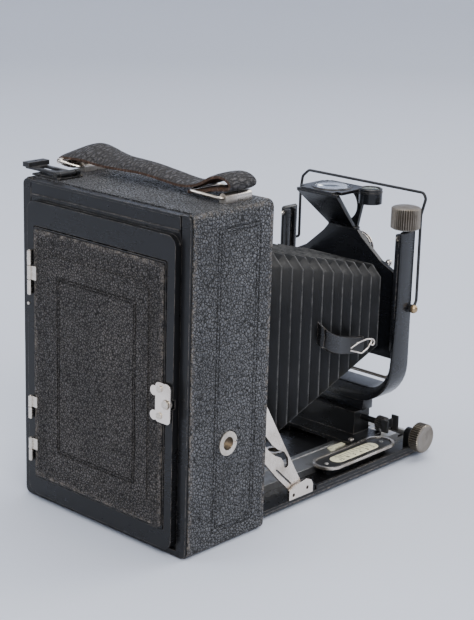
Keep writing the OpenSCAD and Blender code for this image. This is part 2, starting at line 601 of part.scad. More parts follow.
body_shell();
body_leather();
rear_rail_frame();
side_tripod_bush();
handle_strap();
handle_loops();
handle_rollers();
sight_base();
sight_leaf();
bed_release_button();
back_frame();
ground_glass();
glass_springs();
frame_rivets();
lid_hinge_fixed();
lid_hinge_pins();
lid_pan();
hood_leaves();
lid_leather();
lid_hinge_moving();
latch_plate();
latch_screws();
latch_button();
bed_plate();
bed_edges();
bed_leather();
bed_pins();
bed_feet();
bed_guides();
bed_tripod_bush();
strut_brackets();
strut_left();
strut_right();
focus_track();
focus_pointer();
focus_knob();
knob_bearing();
scale_rim();
scale_plate();
carriage_base();
clamp_grip();
u_standard();
tie_rod();
rise_screw();
lens_board();
finder_body();
finder_glass();
spirit_level();
shutter_case();
shutter_dial();
cocking_lever();
release_lever();
aperture_lever();
lens_cells();
wire_finder();
finder_pivot_screw();
bellows_rear();
bellows_main();
bellows_mid();
bellows_fore();
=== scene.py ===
"""Finishes a folding plate camera round its CAD frame.

Lengths are in metres. +Z is up, -Y runs from the body to the lens and the camera stands on z = 0.
"""

import math

import bmesh
import bpy
from bpy.props import FloatProperty, FloatVectorProperty, IntProperty, PointerProperty
from mathutils import Matrix, Vector


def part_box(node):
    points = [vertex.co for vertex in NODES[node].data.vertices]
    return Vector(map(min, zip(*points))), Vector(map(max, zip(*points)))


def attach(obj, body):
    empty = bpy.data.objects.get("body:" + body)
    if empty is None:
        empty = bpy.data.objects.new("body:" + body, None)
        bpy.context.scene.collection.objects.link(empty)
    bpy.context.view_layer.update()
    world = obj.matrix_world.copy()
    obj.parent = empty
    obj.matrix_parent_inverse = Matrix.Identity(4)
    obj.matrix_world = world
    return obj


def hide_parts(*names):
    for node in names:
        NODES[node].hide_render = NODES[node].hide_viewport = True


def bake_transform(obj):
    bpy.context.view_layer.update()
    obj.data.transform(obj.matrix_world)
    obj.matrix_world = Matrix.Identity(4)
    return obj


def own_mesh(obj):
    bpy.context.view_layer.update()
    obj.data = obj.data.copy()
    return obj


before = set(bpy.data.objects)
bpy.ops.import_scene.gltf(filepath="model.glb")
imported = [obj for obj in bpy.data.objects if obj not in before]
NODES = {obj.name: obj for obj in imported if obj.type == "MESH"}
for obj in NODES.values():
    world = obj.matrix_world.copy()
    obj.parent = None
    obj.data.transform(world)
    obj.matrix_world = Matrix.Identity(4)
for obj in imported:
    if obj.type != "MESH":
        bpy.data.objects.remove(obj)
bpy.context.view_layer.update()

bl_info = {
    "name": "Folding Plate Camera",
    "version": (1, 0, 0),
    "blender": (4, 5, 0),
    "location": "View3D > Sidebar > Plate Camera",
    "description": "Models the finished pieces of a folding plate camera round its CAD frame",
    "category": "Object",
}

MM = 0.001
SHARP = math.radians(32)


def mm(x, y, z):
    return Vector((x, y, z)) * MM


# ---------------------------------------------------------------- sizes and colours


def length(name, description, default):
    return FloatProperty(name=name, description=description, default=default, unit="LENGTH", min=0.0,
                         precision=5)


def colour(name, description, default):
    return FloatVectorProperty(name=name, description=description, default=default, subtype="COLOR", size=3,
                               min=0.0, max=1.0)


class PlateCameraSizes(bpy.types.PropertyGroup):
    """Sizes of the finished pieces"""

    fold_pitch: length("Fold pitch", "Distance between two folds of the bellows", 9.0 * MM)
    fold_depth: length("Fold depth", "How far a fold's valley lies inside its ridge", 5.4 * MM)
    corner_cut: length("Corner cut", "Cut corner of the bellows' section", 6.0 * MM)
    bellows_wall: length("Bellows wall", "Thickness of the bellows' leather and card", 0.45 * MM)
    strap_width: length("Strap width", "Width of the carrying strap", 17.0 * MM)
    strap_thick: length("Strap thickness", "Thickness of the carrying strap", 2.1 * MM)
    loop_wire: length("Loop wire", "Radius of the wire loops of the handle", 0.8 * MM)
    finder_wire: length("Finder wire", "Radius of the sports finder's wire", 0.75 * MM)
    pebble: length("Pebble", "Size of a pebble in the leather's grain", 1.45 * MM)
    knurls: IntProperty(name="Knurls", description="Ridges round each knob", default=38, min=12, max=160)


class PlateCameraColours(bpy.types.PropertyGroup):
    """Colours of the finishes"""

    leather: colour("Leather", "Body leather between its worn high spots", (0.029, 0.029, 0.0305))
    leather_worn: colour("Worn leather", "Rubbed edges of the leather", (0.17, 0.145, 0.12))
    enamel: colour("Enamel", "Black stove enamel", (0.006, 0.006, 0.0065))
    bellows: colour("Bellows", "Thin black skiver of the bellows", (0.008, 0.008, 0.0085))
    ridge: colour("Ridge", "Rubbed ridges of the bellows", (0.125, 0.123, 0.118))
    nickel: colour("Nickel", "Warm nickel plate", (0.70, 0.64, 0.56))
    knob: colour("Knob", "Nickel gone brown on the knurled knobs", (0.27, 0.24, 0.20))
    strap: colour("Strap", "Grain side of the carrying strap", (0.060, 0.053, 0.052))
    strap_edge: colour("Strap edge", "Cut edges and flesh side of the strap", (0.115, 0.058, 0.032))
    ivory: colour("Ivory", "Ivory coloured scale and pointer", (0.80, 0.77, 0.54))
    floor: colour("Floor", "Pale floor and backdrop", (0.57, 0.60, 0.675))


# ---------------------------------------------------------------- materials


def add(tree, kind, inputs=(), **settings):
    """A shader node with its settings, and each input set to a value or linked to a socket."""
    node = tree.nodes.new(kind)
    for key, value in settings.items():
        setattr(node, key, value)
    for key, value in dict(inputs).items():
        if isinstance(value, bpy.types.NodeSocket):
            tree.links.new(value, node.inputs[key])
        else:
            node.inputs[key].default_value = value
    return node


def blank(name, metallic=0.0, base=None, roughness=0.5, **sockets):
    """A new material, its tree and its shader, with the values that are the same all over."""
    material = bpy.data.materials.new(name)
    material.use_nodes = True
    tree = material.node_tree
    shader = tree.nodes["Principled BSDF"]
    shader.inputs["Metallic"].default_value = metallic
    shader.inputs["Roughness"].default_value = roughness
    if base is not None:
        shader.inputs["Base Color"].default_value = (*base, 1)
        material.diffuse_color = (*base, 1)
    for key, value in sockets.items():
        shader.inputs[key.replace("_", " ")].default_value = value
    return material, tree, shader


def place(tree):
    return add(tree, "ShaderNodeTexCoord").outputs["Object"]


def noise(tree, vector, scale, detail=3.0, rough=0.55, out="Fac"):
    return add(tree, "ShaderNodeTexNoise", {"Vector": vector, "Scale": scale, "Detail": detail,
                                            "Roughness": rough}).outputs[out]


def stretched(tree, vector, scale):
    return add(tree, "ShaderNodeMapping", {"Vector": vector, "Scale": scale}).outputs[0]


def cells_of(tree, vector, scale, feature="DISTANCE_TO_EDGE"):
    cells = add(tree, "ShaderNodeTexVoronoi", {"Vector": vector, "Scale": scale}, feature=feature)
    return cells.outputs["Distance"]


def ramp(tree, factor, low, high, to=(0.0, 1.0)):
    """factor from low..high to to[0]..to[1], held at both ends."""
    return add(tree, "ShaderNodeMapRange", {"Value": factor, "From Min": low, "From Max": high,
                                            "To Min": to[0], "To Max": to[1]}, clamp=True).outputs["Result"]


def maths(tree, operation, a, b):
    return add(tree, "ShaderNodeMath", {0: a, 1: b}, operation=operation).outputs[0]


def mix(tree, factor, a, b):
    a, b = [(*c, 1) if isinstance(c, (tuple, list)) and len(c) == 3 else c for c in (a, b)]
    return add(tree, "ShaderNodeMix", {0: factor, 6: a, 7: b}, data_type="RGBA").outputs[2]


def bumped(tree, shader, height, strength, distance, soft_edge=0.0):
    """Bump on the shader, over edges softened by a small radius."""
    inputs = {"Height": height, "Strength": strength, "Distance": distance}
    if soft_edge:
        inputs["Normal"] = add(tree, "ShaderNodeBevel", {"Radius": soft_edge}, samples=4).outputs["Normal"]
    tree.links.new(add(tree, "ShaderNodeBump", inputs).outputs["Normal"], shader.inputs["Normal"])


def worn_and_highlit_edge(tree, reach):
    """1 where the surface turns sharply within reach, else 0."""
    rounded = add(tree, "ShaderNodeBevel", {"Radius": reach}, samples=6).outputs["Normal"]
    flat = add(tree, "ShaderNodeNewGeometry").outputs["True Normal"]
    turn = add(tree, "ShaderNodeVectorMath", {0: rounded, 1: flat}, operation="DOT_PRODUCT").outputs["Value"]
    return ramp(tree, turn, 0.97, 0.80)


def edge_wear(tree, where, box, reach):
    """1 along the long edges of a box given as (low, high), falling to 0 over reach."""
    low, high = box
    xyz = add(tree, "ShaderNodeSeparateXYZ", {0: where}).outputs
    near = []
    for axis in range(3):
        centre, half = (low[axis] + high[axis]) / 2, (high[axis] - low[axis]) / 2
        away = maths(tree, "ABSOLUTE", maths(tree, "SUBTRACT", xyz[axis], centre), 0.0)
        near.append(ramp(tree, away, half - reach, half - reach * 0.15))
    pairs = [maths(tree, "MULTIPLY", near[i], near[(i + 1) % 3]) for i in range(3)]
    return maths(tree, "MAXIMUM", maths(tree, "MAXIMUM", pairs[0], pairs[1]), pairs[2])


def grained_leather(name, base, worn, pebble, relief=0.8 * MM, box=None, gloss=0.22, lift=4.2,
                    shine=0.5):
    """Pebbled leather: dark valleys, glossy tops and rubbed edges."""
    material, tree, shader = blank(name, base=base, Specular_IOR_Level=shine)
    where = place(tree)
    bend = add(tree, "ShaderNodeTexNoise", {"Vector": where, "Scale": 0.35 / pebble,
                                            "Detail": 2.0}).outputs["Color"]
    shifted = add(tree, "ShaderNodeVectorMath", {0: bend, "Scale": pebble * 1.4}, operation="SCALE").outputs[0]
    moved = add(tree, "ShaderNodeVectorMath", {0: where, 1: shifted}, operation="ADD").outputs[0]
    crease = ramp(tree, cells_of(tree, moved, 1 / pebble), 0.02, 0.24)
    fine = noise(tree, where, 2.6 / pebble, 4.0)
    dome = ramp(tree, cells_of(tree, moved, 1 / pebble, "F1"), 0.0, 0.75, (1.0, 0.45))
    height = maths(tree, "ADD", maths(tree, "MULTIPLY", crease, dome), maths(tree, "MULTIPLY", fine, 0.35))
    patches = ramp(tree, noise(tree, where, 38.0, 3.0), 0.35, 0.7)
    tops = tuple(min(1.0, c * lift) for c in base)
    shade = mix(tree, maths(tree, "MULTIPLY", crease, ramp(tree, patches, 0.0, 1.0, (0.55, 1.0))),
                tuple(c * 0.15 for c in base), tops)
    if box is not None:
        rubbed = maths(tree, "MULTIPLY", edge_wear(tree, where, box, 2.6 * MM),
                       ramp(tree, noise(tree, where, 420.0, 5.0, 0.7), 0.46, 0.62))
        shade = mix(tree, rubbed, shade, worn)
    tree.links.new(shade, shader.inputs["Base Color"])
    rough = maths(tree, "ADD", ramp(tree, crease, 0.0, 1.0, (0.95, gloss)),
                  ramp(tree, fine, 0.3, 0.7, (-0.08, 0.10)))
    tree.links.new(rough, shader.inputs["Roughness"])
    bumped(tree, shader, height, 1.0, relief, 0.35 * MM)
    return material


def stove_enamel(name, base, rough=0.26, tint=(0.05, 0.045, 0.04), soft=0.30 * MM, shine=0.3):
    """Satin black enamel, faintly dusty, its sharp edges painted a light brown-grey as rubbed metal and as a
    painted highlight, with a thin clear shine.
    """
    material, tree, shader = blank(name, base=base, Specular_IOR_Level=shine)
    where = place(tree)
    cloud = noise(tree, where, 45.0, 4.0, 0.6)
    specks = ramp(tree, noise(tree, where, 2600.0, 2.0, 0.5), 0.68, 0.74)
    dust = maths(tree, "MULTIPLY", specks, ramp(tree, cloud, 0.45, 0.65, (0.0, 0.7)))
    # Sharp edges painted light brown-grey: partly real wear, partly a painted highlight along the edges.
    worn = maths(tree, "MULTIPLY", worn_and_highlit_edge(tree, 0.5 * MM),
                 ramp(tree, noise(tree, where, 300.0, 4.0), 0.38, 0.6))
    shade = mix(tree, worn, mix(tree, dust, base, tint), (0.16, 0.14, 0.12))
    tree.links.new(shade, shader.inputs["Base Color"])
    streaks = noise(tree, stretched(tree, where, (160, 160, 900)), 1.0, 3.0)
    tree.links.new(maths(tree, "ADD", ramp(tree, cloud, 0.3, 0.7, (rough - 0.05, rough + 0.12)),
                         ramp(tree, streaks, 0.3, 0.7, (-0.03, 0.04))), shader.inputs["Roughness"])
    bumped(tree, shader, noise(tree, where, 700.0, 3.0), 0.10, 0.12 * MM, soft)
    return material


def plated(name, base, dark, rough=0.24, blotches=60.0, soft=0.22 * MM):
    """Nickel plate: warm, softly scratched, with tarnish in blotches."""
    material, tree, shader = blank(name, metallic=1.0, base=base)
    where = place(tree)
    cloud = noise(tree, where, blotches, 5.0, 0.62)
    pits = ramp(tree, noise(tree, where, 1500.0, 2.0), 0.64, 0.72)
    tarnish = maths(tree, "MAXIMUM", ramp(tree, cloud, 0.50, 0.70, (0.0, 0.65)),
                    maths(tree, "MULTIPLY", pits, ramp(tree, cloud, 0.4, 0.6)))
    tree.links.new(mix(tree, tarnish, base, dark), shader.inputs["Base Color"])
    scratch = noise(tree, stretched(tree, where, (260, 2200, 700)), 1.0, 2.0)
    tree.links.new(maths(tree, "ADD", ramp(tree, cloud, 0.35, 0.7, (rough - 0.04, rough + 0.16)),
                         ramp(tree, scratch, 0.3, 0.7, (-0.04, 0.06))), shader.inputs["Roughness"])
    bumped(tree, shader, scratch, 0.06, 0.05 * MM, soft)
    return material


def bellows_skin(base, ridge):
    """Thin black leather over card, rubbed grey along the ridges that the ridge attribute marks."""
    material, tree, shader = blank("bellows_skin", base=base, Specular_IOR_Level=0.22)
    where = place(tree)
    mark = add(tree, "ShaderNodeAttribute", attribute_name="ridge").outputs["Fac"]
    worn = noise(tree, where, 260.0, 4.0, 0.65)
    rub = maths(tree, "MULTIPLY", ramp(tree, mark, 0.86, 0.99), ramp(tree, worn, 0.34, 0.62, (0.12, 0.95)))
    tone = ramp(tree, noise(tree, where, 70.0, 3.0), 0.3, 0.7)
    black = mix(tree, tone, tuple(c * 0.5 for c in base), tuple(c * 1.3 for c in base))
    tree.links.new(mix(tree, rub, black, ridge), shader.inputs["Base Color"])
    tree.links.new(ramp(tree, worn, 0.3, 0.7, (0.30, 0.52)), shader.inputs["Roughness"])
    bumped(tree, shader, noise(tree, where, 1500.0, 3.0), 0.35, 0.12 * MM)
    return material


def strap_leather(name, base, dark, grain, wrinkle=0.9 * MM):
    """Old strap leather, wrinkled across and cracked."""
    material, tree, shader = blank(name, base=base, Specular_IOR_Level=0.42)
    where = place(tree)
    wander = noise(tree, where, 240.0, 3.0, out="Color")
    shifted = add(tree, "ShaderNodeVectorMath", {0: stretched(tree, where, (520, 210, 300)), 1: wander},
                  operation="ADD")
    crease = ramp(tree, cells_of(tree, shifted.outputs[0], 1.0), 0.0, 0.3)
    pores = noise(tree, where, grain, 4.0, 0.6)
    tree.links.new(mix(tree, maths(tree, "MULTIPLY", crease, ramp(tree, pores, 0.35, 0.6)), dark, base),
                   shader.inputs["Base Color"])
    tree.links.new(ramp(tree, maths(tree, "MULTIPLY", crease, pores), 0.1, 0.6, (0.75, 0.30)),
                   shader.inputs["Roughness"])
    bumped(tree, shader, maths(tree, "ADD", crease, maths(tree, "MULTIPLY", pores, 0.6)), 0.9, wrinkle)
    return material


def clear_glass(name, tint, rough=0.02):
    material, tree, shader = blank(name, base=tint, Transmission_Weight=1.0, IOR=1.5)
    smear = noise(tree, place(tree), 120.0, 3.0)
    tree.links.new(ramp(tree, smear, 0.4, 0.7, (rough, rough + 0.05)), shader.inputs["Roughness"])
    return material


def painted(name, base, dirt, rough):
    """A painted or printed surface, slightly soiled."""
    material, tree, shader = blank(name, base=base)
    where = place(tree)
    soil = ramp(tree, noise(tree, where, 500.0, 4.0, 0.65), 0.52, 0.72)
    tree.links.new(mix(tree, soil, base, dirt), shader.inputs["Base Color"])
    tree.links.new(ramp(tree, soil, 0.0, 1.0, (rough, rough + 0.25)), shader.inputs["Roughness"])
    bumped(tree, shader, soil, 0.15, 0.05 * MM, 0.1 * MM)
    return material


# ---------------------------------------------------------------- mesh helpers, which take millimetres


def to_mesh(name, bm, materials, smooth=True):
    mesh = bpy.data.meshes.new(name)
    bm.to_mesh(mesh)
    bm.free()
    if smooth:
        mesh.shade_smooth()
        mesh.set_sharp_from_angle(angle=SHARP)
    for material in materials:
        mesh.materials.append(material)
    return mesh


def piece(name, bm, body, materials, replaces=(), outwards=True, ride=True, smooth=True):
    """A finished object from a bmesh, riding on a CAD body."""
    if outwards:
        bmesh.ops.recalc_face_normals(bm, faces=bm.faces)
    obj = bpy.data.objects.new(name, to_mesh(name, bm, materials, smooth))
    bpy.context.scene.collection.objects.link(obj)
    if replaces:
        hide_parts(*replaces)
    if ride:
        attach(obj, body)
    return obj


def facing(origin, direction):
    """The matrix that takes a shape made along +Z at the origin to a place and direction."""
    return Matrix.Translation(mm(*origin)) @ Vector(direction).to_track_quat("Z", "Y").to_matrix().to_4x4()


def loop_at(bm, points):
    verts = [bm.verts.new(p) for p in points]
    return [bm.edges.new((verts[i], verts[(i + 1) % len(verts)])) for i in range(len(verts))]


def lofted(bm, rings, capped=True):
    """Edge loops bridged one to the next, and closed at both ends."""
    for a, b in zip(rings, rings[1:]):
        bmesh.ops.bridge_loops(bm, edges=a + b)
    if capped:
        for ring in (rings[0], rings[-1]):
            bmesh.ops.contextual_create(bm, geom=ring)


def turned_shape(bm, profile, segments, matrix=Matrix.Identity(4), material=0):
    """A profile of (radius, height) spun round Z. A radius of 0 closes the shape."""
    before = set(bm.verts)
    verts = [bm.verts.new(mm(r, 0, h)) for r, h in profile]
    edges = [bm.edges.new(pair) for pair in zip(verts, verts[1:])]
    bmesh.ops.spin(bm, geom=verts + edges, cent=(0, 0, 0), axis=(0, 0, 1), angle=math.tau, steps=segments,
                   use_merge=True)
    made = [v for v in bm.verts if v not in before]
    bmesh.ops.remove_doubles(bm, verts=made, dist=1e-7)
    made = [v for v in bm.verts if v not in before]
    for face in {f for v in made for f in v.link_faces}:
        face.material_index = material
    bmesh.ops.transform(bm, matrix=matrix, verts=made)
    return made


def knurled(bm, levels, teeth, depth, matrix, material=0, groove=2):
    """Rings at (height, radius, toothed) joined into a barrel whose groove faces take their own material (a
    painted shade on the knobs), and closed at both ends.
    """
    before = set(bm.verts)
    rings, grooves = [], []
    for height, radius, toothed in levels:
        made = bmesh.ops.create_circle(bm, cap_ends=False, radius=radius * MM, segments=teeth * 4)["verts"]
        for i, vert in enumerate(made):
            sunk = toothed and i % 4 > 1
            vert.co = vert.co * (1 - depth / radius if sunk else 1) + mm(0, 0, height)
            if sunk:
                grooves.append(vert)
        rings.append(list({e for v in made for e in v.link_edges}))
    lofted(bm, rings)
    made = [v for v in bm.verts if v not in before]
    grooves = set(grooves)
    for face in {f for v in made for f in v.link_faces}:
        face.material_index = groove if len(face.verts) == 4 and set(face.verts) <= grooves else material
    bmesh.ops.transform(bm, matrix=matrix, verts=made)


def wire(bm, points, radius, rounding, closed=False, sides=12):
    """A round wire along points, its corners rounded, swept by Blender's own curve bevel."""
    path = rounded_path([mm(*p) for p in points], rounding * MM, closed)
    curve = bpy.data.curves.new("wire_path", "CURVE")
    curve.dimensions = "3D"
    curve.bevel_depth = radius * MM
    curve.bevel_resolution = sides // 4
    curve.use_fill_caps = True
    spline = curve.splines.new("POLY")
    spline.points.add(len(path) - 1)
    for point, co in zip(spline.points, path):
        point.co = (*co, 1)
    spline.use_cyclic_u = closed
    holder = bpy.data.objects.new("wire_path", curve)
    mesh = bpy.data.meshes.new_from_object(holder)
    bm.from_mesh(mesh)
    bpy.data.meshes.remove(mesh)
    bpy.data.objects.remove(holder)
    bpy.data.curves.remove(curve)


def rounded_path(points, radius, closed):
    """The points with each corner replaced by a short smooth turn."""
    path, count = [], len(points)
    for i, here in enumerate(points):
        if not closed and i in (0, count - 1):
            path.append(here)
            continue
        before, after = points[i - 1], points[(i + 1) % count]
        reach = min(radius, (here - before).length * 0.48, (after - here).length * 0.48)
        a = here + (before - here).normalized() * reach
        b = here + (after - here).normalized() * reach
        path += [a.lerp(here, t).lerp(here.lerp(b, t), t) for t in (0, 0.2, 0.4, 0.6, 0.8, 1)]
    return path


def boxed(bm, low, high, bevel=0.0, material=0, matrix=None):
    """A block between two corners with rounded edges."""
    made = bmesh.ops.create_cube(bm, size=1.0)["verts"]
    low, high = mm(*low), mm(*high)
    for vert in made:
        vert.co = Vector([low[k] + (vert.co[k] + 0.5) * (high[k] - low[k]) for k in range(3)])
    if matrix is not None:
        bmesh.ops.transform(bm, matrix=matrix, verts=made)
    faces = {f for v in made for f in v.link_faces}
    for face in faces:
        face.material_index = material
    if bevel:
        bmesh.ops.bevel(bm, geom=list({e for f in faces for e in f.edges}), offset=bevel * MM, segments=2,
                        profile=0.5, affect="EDGES", material=-1)


def slotted_screw(bm, origin, direction, radius, height, turn=0.0, material=0, dark=1):
    """A domed screw head with a slot sunk across it."""
    matrix = facing(origin, direction) @ Matrix.Rotation(turn, 4, "Z")
    half = radius * 0.13 * MM
    profile = [(radius, 0), (radius, height * 0.45), (radius * 0.8, height * 0.85), (radius * 0.45, height)]
    before = set(bm.verts)
    turned_shape(bm, profile + [(0, height * 1.04)], 24, material=material)
    for side in (-1, 1):
        verts = [v for v in bm.verts if v not in before]
        faces = list({f for v in verts for f in v.link_faces})
        bmesh.ops.bisect_plane(bm, geom=verts + list({e for f in faces for e in f.edges}) + faces,
                               plane_co=(0, side * half, 0), plane_no=(0, 1, 0))
    sunk = [f for v in bm.verts if v not in before for f in v.link_faces
            if abs(f.calc_center_median().y) < half and f.calc_center_median().z > height * 0.4 * MM]
    sunk = list(set(sunk))
    cut = bmesh.ops.extrude_face_region(bm, geom=sunk)["geom"]
    bmesh.ops.delete(bm, geom=[f for f in sunk if f.is_valid], context="FACES_ONLY")
    for item in cut:
        if isinstance(item, bmesh.types.BMVert):
            item.co.z = height * 0.5 * MM
        elif isinstance(item, bmesh.types.BMFace):
            item.material_index = dark
    bmesh.ops.transform(bm, matrix=matrix, verts=[v for v in bm.verts if v not in before])


def label(text, size, matrix):
    """Small raised figures as a bmesh, for generic scales and dials."""
    curve = bpy.data.curves.new("figures", "FONT")
    curve.body, curve.size, curve.extrude = text, size * MM, 0.04 * MM
    curve.align_x, curve.align_y = "CENTER", "CENTER"
    curve.resolution_u = 3
    holder = bpy.data.objects.new("figures", curve)
    mesh = bpy.data.meshes.new_from_object(holder)
    mesh.transform(matrix)
    bpy.data.objects.remove(holder)
    bpy.data.curves.remove(curve)
    return mesh


def take(bm, mesh, material=0):
    known = set(bm.faces)
    bm.from_mesh(mesh)
    bpy.data.meshes.remove(mesh)
    for face in bm.faces:
        if face not in known:
            face.material_index = material


# ---------------------------------------------------------------- finishes of the CAD nodes

FINISH = {}


def finishes(context):
    """Makes every material once and keeps it by name."""
    if FINISH:
        return FINISH
    tint = context.scene.plate_camera_colours
    size = context.scene.plate_camera_sizes

    def rgb(name, scale=1.0):
        return tuple(c * scale for c in getattr(tint, name))

    leather, worn, nickel = rgb("leather"), rgb("leather_worn"), rgb("nickel")
    brown = tuple(c * s for c, s in zip(leather, (1.15, 1.0, 0.85)))  # the lid's leather has gone warmer
    tarnish = (0.30, 0.24, 0.17)
    FINISH.update(
        body_leather=grained_leather("body_leather", leather, worn, size.pebble, box=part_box("body_leather")),
        lid_leather=grained_leather("lid_leather", brown, worn, size.pebble * 0.85, box=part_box("lid_leather"),
                                    gloss=0.32, lift=2.8, shine=0.34),
        bed_leather=grained_leather("bed_leather", leather, worn, size.pebble, box=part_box("bed_leather")),
        enamel=stove_enamel("black_enamel", rgb("enamel")),
        enamel_blue=stove_enamel("black_enamel_glossy", (0.007, 0.0075, 0.009), rough=0.18,
                                 tint=(0.04, 0.04, 0.045)),
        standard_enamel=stove_enamel("standard_enamel", (0.009, 0.0095, 0.011), rough=0.22, soft=0.4 * MM,
                                     shine=0.45),
        enamel_worn=stove_enamel("black_enamel_worn", (0.016, 0.016, 0.017), rough=0.36,
                                 tint=(0.12, 0.11, 0.10)),
        nickel=plated("nickel_plate", nickel, tarnish),
        nickel_bright=plated("nickel_bright", (0.90, 0.815, 0.725), tarnish, rough=0.17, blotches=35.0),
        steel=plated("satin_steel", (0.52, 0.51, 0.49), (0.22, 0.20, 0.17), rough=0.34, blotches=90.0),
        knob=plated("browned_nickel", rgb("knob"), (0.15, 0.12, 0.09), rough=0.38, blotches=110.0,
                    soft=0.08 * MM),
        # Painted shade: the knobs' knurl grooves get this dark material so that they read as shaded crevices.
        knob_dark=plated("knurl_grooves", (0.07, 0.06, 0.048), (0.03, 0.025, 0.02), rough=0.55),
        brass=plated("worn_brass", (0.42, 0.30, 0.17), (0.16, 0.11, 0.06), rough=0.3),
        bellows=bellows_skin(rgb("bellows"), rgb("ridge")),
        strap=strap_leather("strap_grain_side", rgb("strap"), rgb("strap", 0.2), 1100.0),
        strap_edge=strap_leather("strap_cut_edge", rgb("strap_edge"), rgb("strap_edge", 0.35), 1900.0,
                                 0.3 * MM),
        ivory=painted("ivory_scale", rgb("ivory"), (0.42, 0.36, 0.24), 0.4),
        black_paint=painted("scale_black", (0.012, 0.012, 0.012), (0.05, 0.045, 0.04), 0.4),
        white_paint=painted("dial_white", (0.75, 0.74, 0.70), (0.4, 0.37, 0.31), 0.5),
        glass=clear_glass("lens_glass", (0.93, 0.95, 0.97)),
        ground=clear_glass("ground_glass", (0.86, 0.90, 0.88), rough=0.42),
        mirror=plated("finder_mirror", (0.86, 0.87, 0.88), (0.5, 0.5, 0.48), rough=0.05, soft=0.05 * MM),
        level_fluid=clear_glass("level_fluid", (0.86, 0.88, 0.55)),
    )
    return FINISH


CAD_FINISHES = {
    "enamel": ["body_shell", "rear_rail_frame", "back_frame", "lid_pan", "hood_leaves", "bed_plate",
               "bed_edges", "carriage_base", "knob_bearing", "sight_base"],
    "enamel_worn": ["sight_leaf", "bed_release_button"],
    "enamel_blue": ["shutter_dial", "lens_board", "finder_body", "shutter_case", "spirit_level"],
    "body_leather": ["body_leather"],
    "lid_leather": ["lid_leather"],
    "bed_leather": ["bed_leather"],
    "nickel": ["handle_rollers", "glass_springs", "frame_rivets", "lid_hinge_fixed", "lid_hinge_pins",
               "lid_hinge_moving", "latch_screws", "latch_button", "bed_feet", "bed_tripod_bush", "tie_rod",
               "aperture_lever", "side_tripod_bush", "scale_rim"],
    "nickel_bright": ["latch_plate", "strut_brackets", "strut_left", "strut_right"],
    "steel": ["bed_pins", "bed_guides", "focus_track"],
    "ivory": ["focus_pointer"],
    "ground": ["ground_glass"],
    "glass": ["finder_glass"],
}


class PLATE_OT_finishes(bpy.types.Operator):
    """Give each carried-over CAD node its leather, enamel, nickel or glass"""

    bl_idname = "plate_camera.finishes"
    bl_label = "Finishes"

    def execute(self, context):
        made = finishes(context)
        for finish, names in CAD_FINISHES.items():
            for name in names:
                mesh = NODES[name].data
                mesh.materials.clear()
                mesh.materials.append(made[finish])
        return {"FINISHED"}


# ---------------------------------------------------------------- bellows

FOLD_START, FOLD_MIDDLE = -145.8 * MM, 78 * MM  # the first fold's y and the bellows' mid height
BELLOWS = [  # node, first fold, folds
    ("bellows_fore", 0, 3),
    ("bellows_mid", 3, 5),
    ("bellows_main", 8, 3),
    ("bellows_rear", 11, 4),
]


def bellows_section(y, inset, cut):
    """Eight corners of the tapering bellows at y, drawn in by inset."""
    share = (y / MM + 140) / 130
    half = (30 + 14 * share) * MM - inset
    low, high = (53 - 33 * share) * MM + inset, (103 + 33 * share) * MM - inset
    corners = [(half, low + cut), (half, high - cut), (half - cut, high), (-half + cut, high),
               (-half, high - cut), (-half, low + cut), (-half + cut, low), (half - cut, low)]
    return [Vector((x, y, z)) for x, z in corners]


class PLATE_OT_bellows(bpy.types.Operator):
    """Fold the four lengths of the pleated bellows, and hang the middle two on the track and the bed"""

    bl_idname = "plate_camera.bellows"
    bl_label = "Bellows"

    def execute(self, context):
        size = context.scene.plate_camera_sizes
        skin = finishes(context)["bellows"]
        for node, first, count in BELLOWS:
            bm = bmesh.new()
            start = FOLD_START + first * size.fold_pitch
            rings = []
            for k in range(2 * count + 1):
                y = start + k * size.fold_pitch / 2
                ridge = k % 2
                cut = size.corner_cut * (1.0 if ridge else 0.45)
                rings.append(loop_at(bm, bellows_section(y, 0 if ridge else size.fold_depth, cut)))
            lofted(bm, rings, capped=False)
            crests = [e for ring in rings[1::2] for e in ring]
            bmesh.ops.bevel(bm, geom=crests, offset=0.42 * MM, segments=2, profile=0.5, affect="EDGES",
                            material=-1)
            bmesh.ops.recalc_face_normals(bm, faces=bm.faces)
            end = start + count * size.fold_pitch
            middle = Vector((0, (start + end) / 2, FOLD_MIDDLE))
            biggest = max(bm.faces, key=lambda f: f.calc_area())
            if biggest.normal.dot(biggest.calc_center_median() - middle) < 0:
                bmesh.ops.reverse_faces(bm, faces=bm.faces)
            bmesh.ops.solidify(bm, geom=bm.faces, thickness=size.bellows_wall)
            mark = bm.verts.layers.float.new("ridge")
            for vert in bm.verts:
                phase = ((vert.co.y - start) / size.fold_pitch) % 1.0
                vert[mark] = 1 - abs(phase - 0.5) * 2
            obj = piece("folded_" + node, bm, None, [skin], replaces=[node], outwards=False,
                        ride=False)
            if node == "bellows_fore":
                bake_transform(obj)
            elif node == "bellows_rear":
                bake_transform(obj)
            else:
                body, joint, travel = {"bellows_mid": ("track", "standard_slide", 25 * MM),
                                       "bellows_main": ("bed", "focusing", 12 * MM)}[node]
                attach(obj, body)
                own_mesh(obj)
        return {"FINISHED"}


# ---------------------------------------------------------------- carrying handle and wire parts

